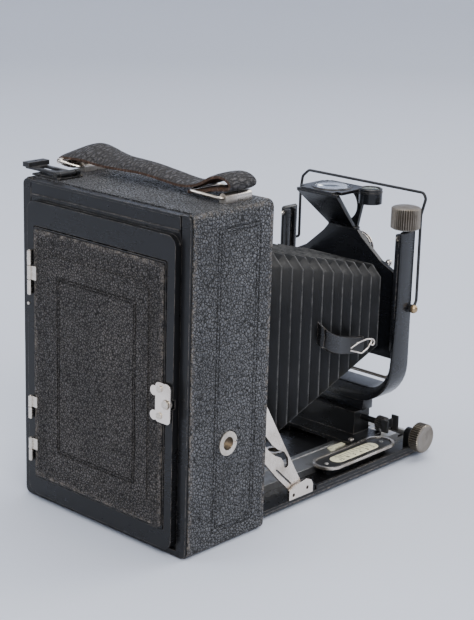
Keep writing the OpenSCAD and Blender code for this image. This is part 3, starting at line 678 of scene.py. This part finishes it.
HANDLE_Y, LOOP_REACH = -11, 9.6  # the handle's line and how far its loops reach to either side of it
STRAP_PATH = [  # x, y, z, crown and tilt of the strap's middle, from its left eye to the tail of its right eye
    (48.9, -7.2, 160.3, 0.0, 0.0), (52.0, -6.8, 160.4, 0.0, 0.0), (55.2, -6.4, 160.9, 0.0, 0.2),
    (57.0, -6.2, 162.6, 0.0, 0.5), (55.8, -6.2, 164.6, 0.2, 1.0), (51.0, -6.4, 166.0, 0.8, 2.0),
    (44.6, -6.8, 167.0, 1.4, 2.6), (39.0, -7.2, 166.6, 1.8, 2.4), (32.0, -7.8, 165.3, 2.3, 1.8),
    (24.0, -8.4, 164.3, 2.6, 1.0), (14.0, -9.0, 163.9, 2.9, 0.4), (4.0, -9.6, 163.5, 2.8, 0.0),
    (-8.0, -10.2, 162.5, 2.0, 0.0), (-18.0, -10.6, 161.7, 1.0, 0.0), (-25.0, -11.0, 162.3, 0.4, 0.0),
    (-31.0, -11.0, 164.2, 0.2, 0.0), (-37.0, -11.0, 167.4, 0.3, 0.0), (-42.5, -11.0, 169.0, 0.5, 0.0),
    (-47.0, -11.0, 168.2, 0.5, 0.0), (-49.4, -11.0, 166.2, 0.3, 0.0), (-48.0, -11.0, 164.3, 0.1, 0.0),
    (-43.5, -11.0, 163.6, 0.0, 0.0), (-37.0, -11.0, 162.3, 0.0, 0.0), (-31.0, -11.0, 160.6, 0.0, 0.0),
    (-24.0, -11.0, 159.6, 0.0, 0.0),
]


FINDER_PIVOT = (-152.7, 80.2)  # y and z of the sports finder's pivot


def spline(points, steps):
    """A smooth run through the points, with as many steps between each two."""
    out, last = [], len(points) - 1
    for i in range(last):
        a, b, c, d = (Vector(points[max(0, min(last, i + k))]) for k in (-1, 0, 1, 2))
        for step in range(steps):
            t = step / steps
            out.append(0.5 * (2 * b + (c - a) * t + (2 * a - 5 * b + 4 * c - d) * t * t
                              + (3 * b - a - 3 * c + d) * t ** 3))
    return out + [Vector(points[last])]


class PLATE_OT_strap(bpy.types.Operator):
    """Lay the leather carrying strap with its raised middle and brown cut edges"""

    bl_idname = "plate_camera.strap"
    bl_label = "Carrying strap"

    def execute(self, context):
        size = context.scene.plate_camera_sizes
        made = finishes(context)
        bm = bmesh.new()
        half, thick = size.strap_width / 2, size.strap_thick / 2
        across = 12
        path = spline(STRAP_PATH, 5)
        rings = []
        for i, (x, y, z, crown, tilt) in enumerate(path):
            ahead, behind = path[min(i + 1, len(path) - 1)], path[max(i - 1, 0)]
            along = Vector((ahead[0] - behind[0], 0, ahead[2] - behind[2])).normalized()
            up = Vector((along.z, 0, -along.x))
            taper = 0.93 + 0.07 * min(1.0, abs(x) / 40)
            ring = []
            for side in (1, -1):
                for k in range(across + 1):
                    share = (k / across * 2 - 1) * side
                    rise = (crown * (1 - share ** 2) - tilt * share) * MM
                    rise += side * thick * (1 - 0.45 * abs(share) ** 6)
                    ring.append(mm(x, y, z) + Vector((0, share * half * taper, 0)) + up * rise)
            rings.append(loop_at(bm, ring))
        lofted(bm, rings)
        bmesh.ops.recalc_face_normals(bm, faces=bm.faces)
        order = {}
        for ring in rings:
            for place_no, edge in enumerate(ring):
                for vert in edge.verts:
                    order.setdefault(vert, []).append(place_no)
        for face in bm.faces:
            places = [k for v in face.verts for k in order.get(v, [])]
            under = sum(1 for k in places if k > across) > len(places) * 0.55
            edge = len(face.verts) == 4 and any(
                k in (across, 2 * across + 1)
                for k in set.intersection(*[set(order.get(v, [])) for v in face.verts])
            ) if all(v in order for v in face.verts) else False
            face.material_index = 1 if under or edge or len(face.verts) > 4 else 0
        piece("carrying_strap", bm, "body", [made["strap"], made["strap_edge"]],
              replaces=["handle_strap"], outwards=False)
        return {"FINISHED"}


class PLATE_OT_wires(bpy.types.Operator):
    """Bend the handle's wire loops and the folding frame of the sports finder"""

    bl_idname = "plate_camera.wires"
    bl_label = "Wire parts"

    def execute(self, context):
        size = context.scene.plate_camera_sizes
        made = finishes(context)
        bm = bmesh.new()
        near, far = HANDLE_Y + LOOP_REACH, HANDLE_Y - LOOP_REACH
        wire(bm, [(-45.6, near, 160.2), (-26.5, near, 160.9), (-26.5, far, 160.9), (-45.6, far, 160.2)],
             size.loop_wire / MM, 2.2, closed=True)
        wire(bm, [(45.6, near, 160.2), (54.0, near + 6.6, 162.6), (54.0, far + 5.0, 162.6),
                  (45.6, far, 160.2)], size.loop_wire / MM, 1.6, closed=True)
        turned_shape(bm, [(0.9, 0), (1.35, 0.1), (1.35, 21.4), (0.9, 21.5),
                          (0.9, 0)], 28, facing((54.0, 4.9, 162.6), (0, -1, 0)))
        piece("handle_wire_loops", bm, "body", [made["nickel"]], replaces=["handle_loops"])

        bm = bmesh.new()
        path = [(-42.2, *FINDER_PIVOT), (-42.2, -154.6, 81.4), (-42.3, -156, 84.0), (-41.9, -156, 129.4),
                (-44.4, -156, 138.4), (-42.6, -156, 141.2), (33.8, -156, 141.2), (38, -156, 137.4),
                (39.2, -156, 129), (39, -156, 103.6), (41.8, -156, 102.6)]
        wire(bm, path, size.finder_wire / MM, 1.3)
        turned_shape(bm, [(1.3, 0), (2.2, 0), (2.2, 1.4), (1.3, 1.4),
                          (1.3, 0)], 28, facing((-42.9, *FINDER_PIVOT), (1, 0, 0)))
        piece("sports_finder_wire", bm, "sports_finder", [made["enamel_worn"]],
              replaces=["wire_finder"])
        return {"FINISHED"}


# ---------------------------------------------------------------- knobs and screws


PINION_RADIUS, PINION_TEETH = 3.7, 20


class PLATE_OT_knobs(bpy.types.Operator):
    """Turn and knurl the focusing knob and the rising-front knob"""

    bl_idname = "plate_camera.knobs"
    bl_label = "Knobs"

    def execute(self, context):
        teeth = context.scene.plate_camera_sizes.knurls
        made = finishes(context)
        finish = [made["knob"], made["steel"], made["knob_dark"]]

        bm = bmesh.new()
        axis = facing((-50.2, -152.6, 11.8), (-1, 0, 0))
        r = 7.75
        knurled(bm, [(0, r - 0.9, 0), (0.5, r, 1), (5.5, r, 1), (5.95, r - 0.7, 0)],
                teeth, 0.6, axis)
        turned_shape(bm, [(r - 0.9, 5.9), (r - 1.1, 6.1), (r - 2.4, 6.12),
                          (r - 2.7, 5.96), (2.4, 6.05), (1.9, 6.2), (0, 6.2)],
                     64, axis, 0)
        turned_shape(bm, [(3.4, -2.0), (3.4, 0.1), (0, 0.1)], 40, axis, 1)
        turned_shape(bm, [(1.5, -25.4), (1.5, 0), (0, 0)], 24, axis, 1)
        wheel = bmesh.new()
        knurled(wheel, [(22.0, PINION_RADIUS, 1), (25.4, PINION_RADIUS, 1)], PINION_TEETH, 1.1,
                Matrix.Identity(4), 1, 1)
        bmesh.ops.transform(wheel, matrix=axis @ Matrix.Scale(-1, 4, (0, 0, 1)), verts=wheel.verts)
        take(bm, to_mesh("pinion", wheel, [], smooth=False), 1)
        piece("focusing_knob_knurled", bm, "focusing_knob", finish, replaces=["focus_knob"])

        bm = bmesh.new()
        axis = facing((-39, -147, 123.3), (0, 0, 1))
        r = 7.6
        knurled(bm, [(0, r - 0.9, 0), (0.6, r, 1), (10.5, r, 1), (11.0, r - 0.5, 0),
                     (11.3, r - 1.4, 0)], teeth, 0.6, axis)
        turned_shape(bm, [(3.0, -1.0), (3.0, 0.1), (0, 0.1)], 40, axis, 1)
        thread = [(1.2 if k % 2 else 0.95, (-61.3 + 0.6 * k)) for k in range(100)]
        turned_shape(bm, [(0, -61.4)] + thread + [(1.2, -0.5), (0, -0.4)], 20, axis, 1)
        piece("rise_knob_knurled", bm, "rising_screw", finish, replaces=["rise_screw"])
        return {"FINISHED"}


STANDARD_X, STANDARD_WALL, STANDARD_TOP = 41.0, 2.2, 122.0


def standard_stations():
    """Outer and inner points (x, z) of the U and its depth's share, from one arm's top round to the other's."""
    half = [((STANDARD_X, z), (STANDARD_X - STANDARD_WALL, z))
            for z in (STANDARD_TOP, 121.1, 110.0, 84.0, 64.0, 50.0)]
    for k in range(1, 11):
        turn = math.radians(-9 * k)
        half.append(((18 + 23 * math.cos(turn), 50 + 23 * math.sin(turn)),
                     (24.8 + 14 * math.cos(turn), 50 + 14 * math.sin(turn))))
    mirrored = [((-o[0], o[1]), (-i[0], i[1])) for o, i in reversed(half)]
    return half + mirrored


def rounded_ring(bm, outer, inner, front, rear, inset):
    """A rounded rectangle across the U at one station."""
    across = Vector((outer[0] - inner[0], outer[1] - inner[1]))
    wide = across.length - 2 * inset
    across.normalize()
    r = min(1.0, wide * 0.45)
    points = []
    for s, y, start in ((wide - r, rear - inset - r, 0), (r, rear - inset - r, 90), (r, front + inset + r, 180),
                        (wide - r, front + inset + r, 270)):
        for step in (0, 30, 60, 90):
            a = math.radians(start + step)
            t = inset + s + r * math.cos(a)
            points.append(mm(inner[0] + across.x * t, y + r * math.sin(a), inner[1] + across.y * t))
    return loop_at(bm, points)


class PLATE_OT_standard(bpy.types.Operator):
    """Bend the U-shaped front standard with its rounded arms, guide strips and foot, and its clamp"""

    bl_idname = "plate_camera.standard"
    bl_label = "Front standard"

    def execute(self, context):
        made = finishes(context)
        bm = bmesh.new()
        rings = []
        for outer, inner in standard_stations():
            share = min(1.0, max(0.0, (78 - (outer[1] + inner[1]) / 2) / 38))
            inset = 0.75 if outer[1] > STANDARD_TOP - 0.5 else 0.0
            rings.append(rounded_ring(bm, outer, inner, -154.0 - 0.3 * share, -142.2 + 2.8 * share, inset))
        lofted(bm, rings)
        for side in (-1, 1):
            for front, rear in ((-150.5, -148.75), (-145.55, -142.2)):
                x = sorted((36.6 * side, 38.9 * side))
                boxed(bm, (x[0], front, 58), (x[1], rear, 120.6), 0.4)
        boxed(bm, (-24, -147.8, 22), (24, -139.5, 28), 0.6)
        piece("standard_arms", bm, "standard", [made["standard_enamel"]],
              replaces=["u_standard"])

        bm = bmesh.new()
        knurled(bm, [(0, 2.9, 0), (0.5, 3.5, 1), (5.4, 3.5, 1), (5.9, 2.9, 0)],
                20, 0.4, facing((-32.0, -142.4, 17.8), (-1, 0, 0)), 0, 1)
        boxed(bm, (-38.8, -147.0, 15.6), (-37.6, -138.4, 20.2), 0.4)
        for front, rear, low, high in ((-147.5, -146.2, 13.7, 22.3), (-139.0, -137.7, 14.6, 21.4)):
            boxed(bm, (-42.2, front, low), (-37.8, rear, high), 0.45)
        turned_shape(bm, [(1.5, 0), (1.5, 12.0), (0, 12.0)], 20,
                     facing((-26.0, -141.5, 18.0), (-1, 0, 0)), 2)
        piece("clamp_barrel", bm, "clamp", [made["enamel_worn"], made["enamel"], made["steel"]],
              replaces=["clamp_grip"])
        return {"FINISHED"}


class PLATE_OT_screws(bpy.types.Operator):
    """Set the small slotted screws of the standard, the shutter and the struts"""

    bl_idname = "plate_camera.screws"
    bl_label = "Screws and pins"

    def execute(self, context):
        made = finishes(context)
        finish = [made["nickel"], made["black_paint"]]
        groups = {
            "standard": [((-38.8, -141.4, 118.6), (1, 0, 0), 1.3), ((38.8, -141.4, 118.6), (-1, 0, 0), 1.3),
                         ((-26, -128, 9.4), (0, 0, 1), 1.5), ((26, -128, 9.4), (0, 0, 1), 1.5)],
            "lens_panel": [((-31, -148.4, 92), (0, -1, 0), 1.3), ((31, -148.4, 92), (0, -1, 0), 1.3),
                           ((-31, -148.4, 58), (0, -1, 0), 1.3), ((31, -148.4, 58), (0, -1, 0), 1.3),
                           ((0, -162, 104), (0, -1, 0), 1.7), ((-14.5, -158.8, 96), (0, -1, 0), 1.5),
                           ((19, -158.8, 69), (0, -1, 0), 1.5)],
        }
        for body, screws in groups.items():
            bm = bmesh.new()
            for i, (origin, direction, radius) in enumerate(screws):
                slotted_screw(bm, origin, direction, radius, 0.55 * radius, turn=0.7 * i)
            piece(body + "_screws", bm, body, finish, outwards=False)
        bm = bmesh.new()
        ball = [(0, 0), (1.1, 0), (1.1, 0.6)]
        ball += [(2.3 * math.sin(a), 2.9 - 2.3 * math.cos(a)) for a in
                 [math.radians(30 + 15 * k) for k in range(10)]]
        turned_shape(bm, ball + [(0, 5.2)], 28, facing((-40.3, *FINDER_PIVOT), (-1, 0, 0)))
        turned_shape(bm, [(0, 0), (1.0, 0), (1.0, 5.6), (0, 5.6)], 20,
                     facing((-42.0, *FINDER_PIVOT), (1, 0, 0)))
        piece("finder_pivot_ball", bm, "standard", [made["brass"]], replaces=["finder_pivot_screw"])
        return {"FINISHED"}


# ---------------------------------------------------------------- shutter and lens


LENS_HEIGHT, DIAL_HEIGHT = 82, 104
SHUTTER_FACE, DIAL_FACE = -157.0, -161.6


class PLATE_OT_lens(bpy.types.Operator):
    """Grind the lens, close the iris and mark the dial, the ring and the levers"""

    bl_idname = "plate_camera.lens"
    bl_label = "Lens and shutter"

    def execute(self, context):
        made = finishes(context)
        bm = bmesh.new()
        dome = [(10.9 * math.sin(math.radians(a)), (2.0 - 9.0 * (1 - math.cos(math.radians(a * 0.55)))))
                for a in (90, 75, 60, 45, 30, 15)]
        turned_shape(bm, [(0, -3.2), (10.9, -3.2)] + dome + [(0, 2.0)], 56,
                     facing((0, -164.6, LENS_HEIGHT), (0, -1, 0)))
        turned_shape(bm, [(0, 0), (12.9, 0), (12.9, 5.0), (9, 6.4), (5, 7.1),
                          (0, 7.4)], 56, facing((0, -147.9, LENS_HEIGHT), (0, 1, 0)))
        piece("lens_elements", bm, "lens_panel", [made["glass"]], replaces=["lens_cells"])

        bm = bmesh.new()
        turned_shape(bm, [(3.6, 0), (8.9, 0.3), (8.9, 0.8), (3.6, 0.5),
                          (3.6, 0)], 48, facing((0, -155, LENS_HEIGHT), (0, -1, 0)))
        for k in range(3):
            ring = 12.0 - 0.55 * k
            turned_shape(bm, [(ring, 0), (ring + 0.3, 0.35), (ring + 0.5, 0), (ring, 0)],
                         64, facing((0, -168.0, LENS_HEIGHT), (0, -1, 0)))
        piece("iris_and_rings", bm, "lens_panel", [made["enamel_worn"]])

        bm = bmesh.new()
        for i in range(29):
            angle = math.radians(-56 + 4 * i)
            turn = Matrix.Translation(mm(0, SHUTTER_FACE - 0.05, LENS_HEIGHT)) @ Matrix.Rotation(angle, 4, "Y")
            tall = 1.6 if i % 4 == 0 else 0.9
            boxed(bm, (-0.12, -0.06, -20.4 - tall), (0.12, 0.1, -20.4), matrix=turn)
        flat = Matrix.Rotation(math.radians(90), 4, "X")
        for i, figures in enumerate(("6", "8", "11", "16", "22", "32")):
            angle = math.radians(-40 + 16 * i)
            turn = Matrix.Translation(mm(0, SHUTTER_FACE - 0.06, LENS_HEIGHT)) @ Matrix.Rotation(angle, 4, "Y")
            take(bm, label(figures, 2.0, turn @ Matrix.Translation(mm(0, 0, -23.5)) @ flat))
        piece("aperture_scale", bm, "lens_panel", [made["white_paint"]], smooth=False)

        bm = bmesh.new()
        for i, figures in enumerate(("1", "2", "5", "10", "25", "50", "100", "B", "T")):
            angle = math.radians(40 * i)
            turn = Matrix.Translation(mm(0, DIAL_FACE - 0.02, DIAL_HEIGHT)) @ Matrix.Rotation(angle, 4, "Y")
            take(bm, label(figures, 1.7, turn @ Matrix.Translation(mm(0, 0, 6.2)) @ flat))
        turned_shape(bm, [(4.2, 0), (4.4, 0.06), (4.6, 0), (4.2, 0)], 48,
                     facing((0, DIAL_FACE, DIAL_HEIGHT), (0, -1, 0)))
        for deep in (0.35, 2.2):
            turned_shape(bm, [(8.47, -0.3), (8.84, -0.15), (8.84, 0.15), (8.47, 0.3), (8.47, -0.3)], 64,
                         facing((0, DIAL_FACE + deep, DIAL_HEIGHT), (0, -1, 0)), 1)
        piece("speed_figures", bm, "speed_dial", [made["white_paint"], made["nickel_bright"]],
              smooth=False)

        for name, body, pivot, tip in (("cocking_lever", "cocking", (-14.5, 96), (-20.8, 99.5)),
                                       ("release_lever", "release", (19, 69), (27, 62.5))):
            bm = bmesh.new()
            a, b = mm(pivot[0], -157.85, pivot[1]), mm(tip[0], -157.85, tip[1])
            along = (b - a).normalized()
            side = Vector((0, 1, 0)).cross(along)
            matrix = Matrix((( *along, 0), (*Vector((0, 1, 0)), 0), (*side, 0), (0, 0, 0, 1))).transposed()
            boxed(bm, (0.4, -0.65, -1.1), ((b - a).length / MM, 0.65, 1.1), 0.3,
                  matrix=Matrix.Translation(a) @ matrix)
            turned_shape(bm, [(1.0, 0), (2.2, 0), (2.2, 1.3), (1.0, 1.3),
                              (1.0, 0)], 24, facing((pivot[0], -157.2, pivot[1]), (0, -1, 0)))
            grip = [(0, 0), (1.2, 0), (1.2, 1.0), (1.8, 1.5), (1.9, 2.4),
                    (1.3, 3.2), (0, 3.4)]
            turned_shape(bm, grip, 24, facing((tip[0], -157.3, tip[1]), (0, -1, 0)))
            piece(name + "_bent", bm, body, [made["nickel"]], replaces=[name])
        return {"FINISHED"}


# ---------------------------------------------------------------- finder, level, scale


class PLATE_OT_finder(bpy.types.Operator):
    """Silver the finder's mirror, frame its lens and fill the spirit level"""

    bl_idname = "plate_camera.finder"
    bl_label = "Finder and level"

    def execute(self, context):
        made = finishes(context)
        bm = bmesh.new()
        across = [(-7.2, -146.2, 119.6), (9.4, -146.2, 119.6), (14.6, -127.6, 138.0), (-11.0, -127.6, 138.0)]
        verts = [bm.verts.new(mm(*p)) for p in across]
        face = bm.faces.new(verts)
        bmesh.ops.solidify(bm, geom=[face], thickness=0.25 * MM)
        piece("finder_mirror", bm, "lens_panel", [made["mirror"]], smooth=False)

        bm = bmesh.new()
        turned_shape(bm, [(9.5, 0), (9.5, 0.5), (10.4, 0.45), (10.9, 0),
                          (9.5, 0)], 64, facing((1.8, -136.7, 140.0), (0, 0, 1)))
        turned_shape(bm, [(8.4, 0), (8.4, 0.7), (9.3, 0.6), (9.7, 0),
                          (8.4, 0)], 56, facing((1.6, -149.4, 129.2), (0, -1, 0)))
        for x, z in ((-9.4, 137.2), (12.9, 137.2), (-5.6, 119.4), (8.2, 119.4)):
            turned_shape(bm, [(0.9, 0), (0.8, 0.4), (0.4, 0.65), (0, 0.7)], 16,
                         facing((x, -147.6, z), (0, 1, 0)))
        piece("finder_rims", bm, "lens_panel", [made["enamel_blue"]])

        bm = bmesh.new()
        at = facing((-19.6, -142, 140.8), (0, 0, 1))
        turned_shape(bm, [(0, 0.02), (4.75, 0.02), (4.75, 0.5), (3.2, 0.9),
                          (1.6, 1.05), (0, 1.1)], 40, at, 0)
        turned_shape(bm, [(4.8, 0.3), (4.8, 0.8), (5.3, 1.15), (5.95, 0.8),
                          (5.95, 0.3), (4.8, 0.3)], 48, at, 1)
        turned_shape(bm, [(1.55, 1.02), (1.7, 1.08), (1.85, 1.0),
                          (1.55, 1.02)], 32, at, 2)
        piece("level_window", bm, "lens_panel",
              [made["level_fluid"], made["enamel_blue"], made["black_paint"]])
        return {"FINISHED"}


class PLATE_OT_scale(bpy.types.Operator):
    """Mark the focusing scale in its oval window"""

    bl_idname = "plate_camera.scale"
    bl_label = "Focusing scale"

    def execute(self, context):
        made = finishes(context)
        bm = bmesh.new()
        x, y = -38.5, -115
        count = 10

        def oval(half_long, half_wide, z):
            points = []
            for end in (1, -1):
                for k in range(count + 1):
                    a = math.pi * k / count
                    points.append(mm(x + end * half_wide * math.cos(a),
                                     y + end * (half_long - half_wide + half_wide * math.sin(a)), z))
            return points

        def slab(half_long, half_wide, low, high, material, edge):
            rings = [loop_at(bm, oval(half_long - inset, half_wide - inset, z))
                     for inset, z in ((0, low), (0, high - edge), (edge, high))]
            faces = set(bm.faces)
            lofted(bm, rings)
            for face in set(bm.faces) - faces:
                face.material_index = material

        slab(24, 3.6, 4.5, 8.55, 1, 0.1)
        slab(27.7, 6.7, 8.5, 9.3, 1, 0.15)
        slab(17.8, 3.9, 9.2, 9.5, 0, 0.2)
        for i in range(12):
            at = y - 14 + 26 * (1 - (1 - i / 11) ** 1.3)
            boxed(bm, (x - 0.2, at - 0.13, 9.48), (x + 3.3, at + 0.13, 9.56), material=1)
        quarter = Matrix.Rotation(math.radians(-90), 4, "Z")
        for i, figures in enumerate(("2", "3", "4", "5", "8", "12")):
            at = y - 13.5 + 5.2 * i
            take(bm, label(figures, 3.1, Matrix.Translation(mm(x - 1.9, at, 9.53)) @ quarter), 1)
        for end in (-1, 1):
            slotted_screw(bm, (x, y + 22.6 * end, 9.25), (0, 0, 1), 1.2, 0.5, 0.6 * end, 2, 1)
        piece("focusing_scale", bm, "bed", [made["ivory"], made["black_paint"], made["steel"]],
              replaces=["scale_plate"], outwards=False)
        return {"FINISHED"}


# ---------------------------------------------------------------- bellows tab and clip


class PLATE_OT_tab(bpy.types.Operator):
    """Hang the leather tab and its wire spring beside the bellows"""

    bl_idname = "plate_camera.tab"
    bl_label = "Tab and spring"

    def execute(self, context):
        made = finishes(context)
        bm = bmesh.new()
        path = spline([(-37.0, -83.0, 80.5, 0), (-40.4, -84.5, 77.5, 0), (-40.6, -92.0, 73.4, 0),
                       (-39.4, -101.0, 70.6, 0), (-38.6, -110.0, 68.6, 0), (-38.4, -117.0, 67.8, 0)], 6)
        rings = []
        for i, p in enumerate(path):
            share = i / (len(path) - 1)
            tall = 5.6 - 1.4 * share
            ahead = path[min(i + 1, len(path) - 1)]
            behind = path[max(i - 1, 0)]
            run = Vector((ahead[0] - behind[0], ahead[1] - behind[1], 0)).normalized()
            out = Vector((-abs(run.y), -abs(run.x), 0)) * 0.7 * MM
            here = mm(p[0], p[1], p[2])
            lift = Vector((0, 0, tall * MM))
            rings.append(loop_at(bm, [here - lift - out, here - lift * 0.9 + out, here + out * 1.5,
                                      here + lift * 0.9 + out, here + lift - out, here - out * 0.6]))
        lofted(bm, rings)
        piece("bellows_tab", bm, "standard", [made["enamel"]])

        bm = bmesh.new()
        wire(bm, [(-39.6, -106, 68), (-41.4, -110, 70.5), (-42.0, -116, 71.4), (-42.0, -121.4, 70.2),
                  (-42.0, -122.6, 68.0), (-42.0, -120.8, 66.8), (-42.0, -119.0, 68.2), (-42.0, -120.4, 70.0),
                  (-42.0, -117.0, 66.2), (-42.0, -112.0, 64.6), (-41.2, -108, 66.2), (-39.6, -106, 66.8)],
             0.42, 1.2, sides=8)
        piece("tab_spring", bm, "standard", [made["nickel_bright"]])
        return {"FINISHED"}


# ---------------------------------------------------------------- stage


FLOOR_GAP = 0.2  # millimetres between the feet and the paper


class PLATE_OT_stage(bpy.types.Operator):
    """Set the pale floor, the soft lights and the camera"""

    bl_idname = "plate_camera.stage"
    bl_label = "Stage"

    def execute(self, context):
        scene = context.scene
        tone = tuple(scene.plate_camera_colours.floor)
        paper, tree, shader = blank("pale_paper", base=tone, roughness=0.85)
        mottle = ramp(tree, noise(tree, place(tree), 3.0, 3.0), 0.3, 0.7)
        height = add(tree, "ShaderNodeSeparateXYZ", {0: place(tree)}).outputs["Z"]
        # Painted light: the backdrop is coloured up to 1.2 times lighter towards the top of its wall, standing
        # in for lamp light there.
        painted_light_rise = mix(tree, ramp(tree, height, 0.0, 0.9), tone, tuple(min(1.0, c * 1.2) for c in tone))
        tree.links.new(mix(tree, maths(tree, "MULTIPLY", mottle, 0.03), painted_light_rise, (0.5, 0.5, 0.52)),
                       shader.inputs["Base Color"])
        bm = bmesh.new()
        bowl = [(0, 0), (1700, 0), (2100, 50), (2420, 220), (2620, 550), (2700, 1000), (2700, 2600)]
        turned_shape(bm, [(r, z - FLOOR_GAP) for r, z in bowl], 96)
        bmesh.ops.recalc_face_normals(bm, faces=bm.faces)
        if sum(f.normal.z * f.calc_area() for f in bm.faces) < 0:
            bmesh.ops.reverse_faces(bm, faces=bm.faces)
        floor = bpy.data.objects.new("floor", to_mesh("floor", bm, [paper]))
        scene.collection.objects.link(floor)

        for name, place_at, aim, reach, power, tone in (
            ("key_light", (-1.15, 0.75, 1.25), (0, -0.05, 0.08), 0.9, 24.0, (1.0, 0.985, 0.96)),
            ("fill_light", (1.2, 1.2, 1.0), (0, -0.05, 0.08), 1.3, 12.0, (0.93, 0.96, 1.0)),
            ("top_light", (0.1, -0.35, 1.9), (0, -0.05, 0.05), 1.7, 30.0, (1.0, 1.0, 1.0)),
            ("front_light", (-0.5, -1.6, 1.1), (0, -0.1, 0.08), 1.2, 14.0, (1.0, 0.99, 0.97)),
        ):
            lamp = bpy.data.lights.new(name, "AREA")
            lamp.shape, lamp.size, lamp.energy, lamp.color = "DISK", reach, power, tone
            holder = bpy.data.objects.new(name, lamp)
            holder.location = place_at
            holder.rotation_mode = "QUATERNION"
            holder.rotation_quaternion = (Vector(aim) - Vector(place_at)).to_track_quat("-Z", "Y")
            scene.collection.objects.link(holder)

        world = bpy.data.worlds.new("soft_sky")
        world.use_nodes = True
        background = world.node_tree.nodes["Background"]
        background.inputs["Color"].default_value = (0.80, 0.84, 0.92, 1)
        background.inputs["Strength"].default_value = 0.58
        scene.world = world

        azimuth, elevation, roll = (math.radians(a) for a in (222.26, 16.30, 1.69))
        back = Vector((math.sin(azimuth) * math.cos(elevation), -math.cos(azimuth) * math.cos(elevation),
                       math.sin(elevation)))
        right0 = (-back).cross(Vector((0, 0, 1))).normalized()
        up0 = right0.cross(-back)
        right = math.cos(roll) * right0 + math.sin(roll) * up0
        up = -math.sin(roll) * right0 + math.cos(roll) * up0
        lens = bpy.data.cameras.new("view")
        lens.lens, lens.sensor_width = 89.84, 36.0
        lens.clip_start, lens.clip_end = 0.02, 20.0
        view = bpy.data.objects.new("view", lens)
        turn = Matrix((right, up, back)).transposed().to_4x4()
        view.matrix_world = Matrix.Translation((-0.4946, 0.4802, 0.3026)) @ turn
        scene.collection.objects.link(view)
        scene.camera = view
        return {"FINISHED"}


class PLATE_PT_panel(bpy.types.Panel):
    """Sizes, colours and pieces of the plate camera"""

    bl_idname = "PLATE_PT_panel"
    bl_label = "Plate Camera"
    bl_space_type = "VIEW_3D"
    bl_region_type = "UI"
    bl_category = "Plate Camera"

    def draw(self, context):
        for title, group in (("Sizes", context.scene.plate_camera_sizes),
                             ("Colours", context.scene.plate_camera_colours)):
            box = self.layout.box()
            box.label(text=title)
            for name in group.bl_rna.properties.keys():
                if name not in ("rna_type", "name"):
                    box.prop(group, name)
        for operator in OPERATORS:
            self.layout.operator(operator.bl_idname)


OPERATORS = (PLATE_OT_stage, PLATE_OT_finishes, PLATE_OT_bellows, PLATE_OT_strap, PLATE_OT_wires,
             PLATE_OT_knobs, PLATE_OT_standard, PLATE_OT_screws, PLATE_OT_lens, PLATE_OT_finder, PLATE_OT_scale,
             PLATE_OT_tab)
CLASSES = (PlateCameraSizes, PlateCameraColours, *OPERATORS, PLATE_PT_panel)


def register():
    for cls in CLASSES:
        bpy.utils.register_class(cls)
    bpy.types.Scene.plate_camera_sizes = PointerProperty(type=PlateCameraSizes)
    bpy.types.Scene.plate_camera_colours = PointerProperty(type=PlateCameraColours)


def unregister():
    del bpy.types.Scene.plate_camera_sizes
    del bpy.types.Scene.plate_camera_colours
    for cls in reversed(CLASSES):
        bpy.utils.unregister_class(cls)


def main():
    register()
    for operator in OPERATORS:
        getattr(bpy.ops.plate_camera, operator.bl_idname.split(".")[1])()


if __name__ == "__main__":
    main()
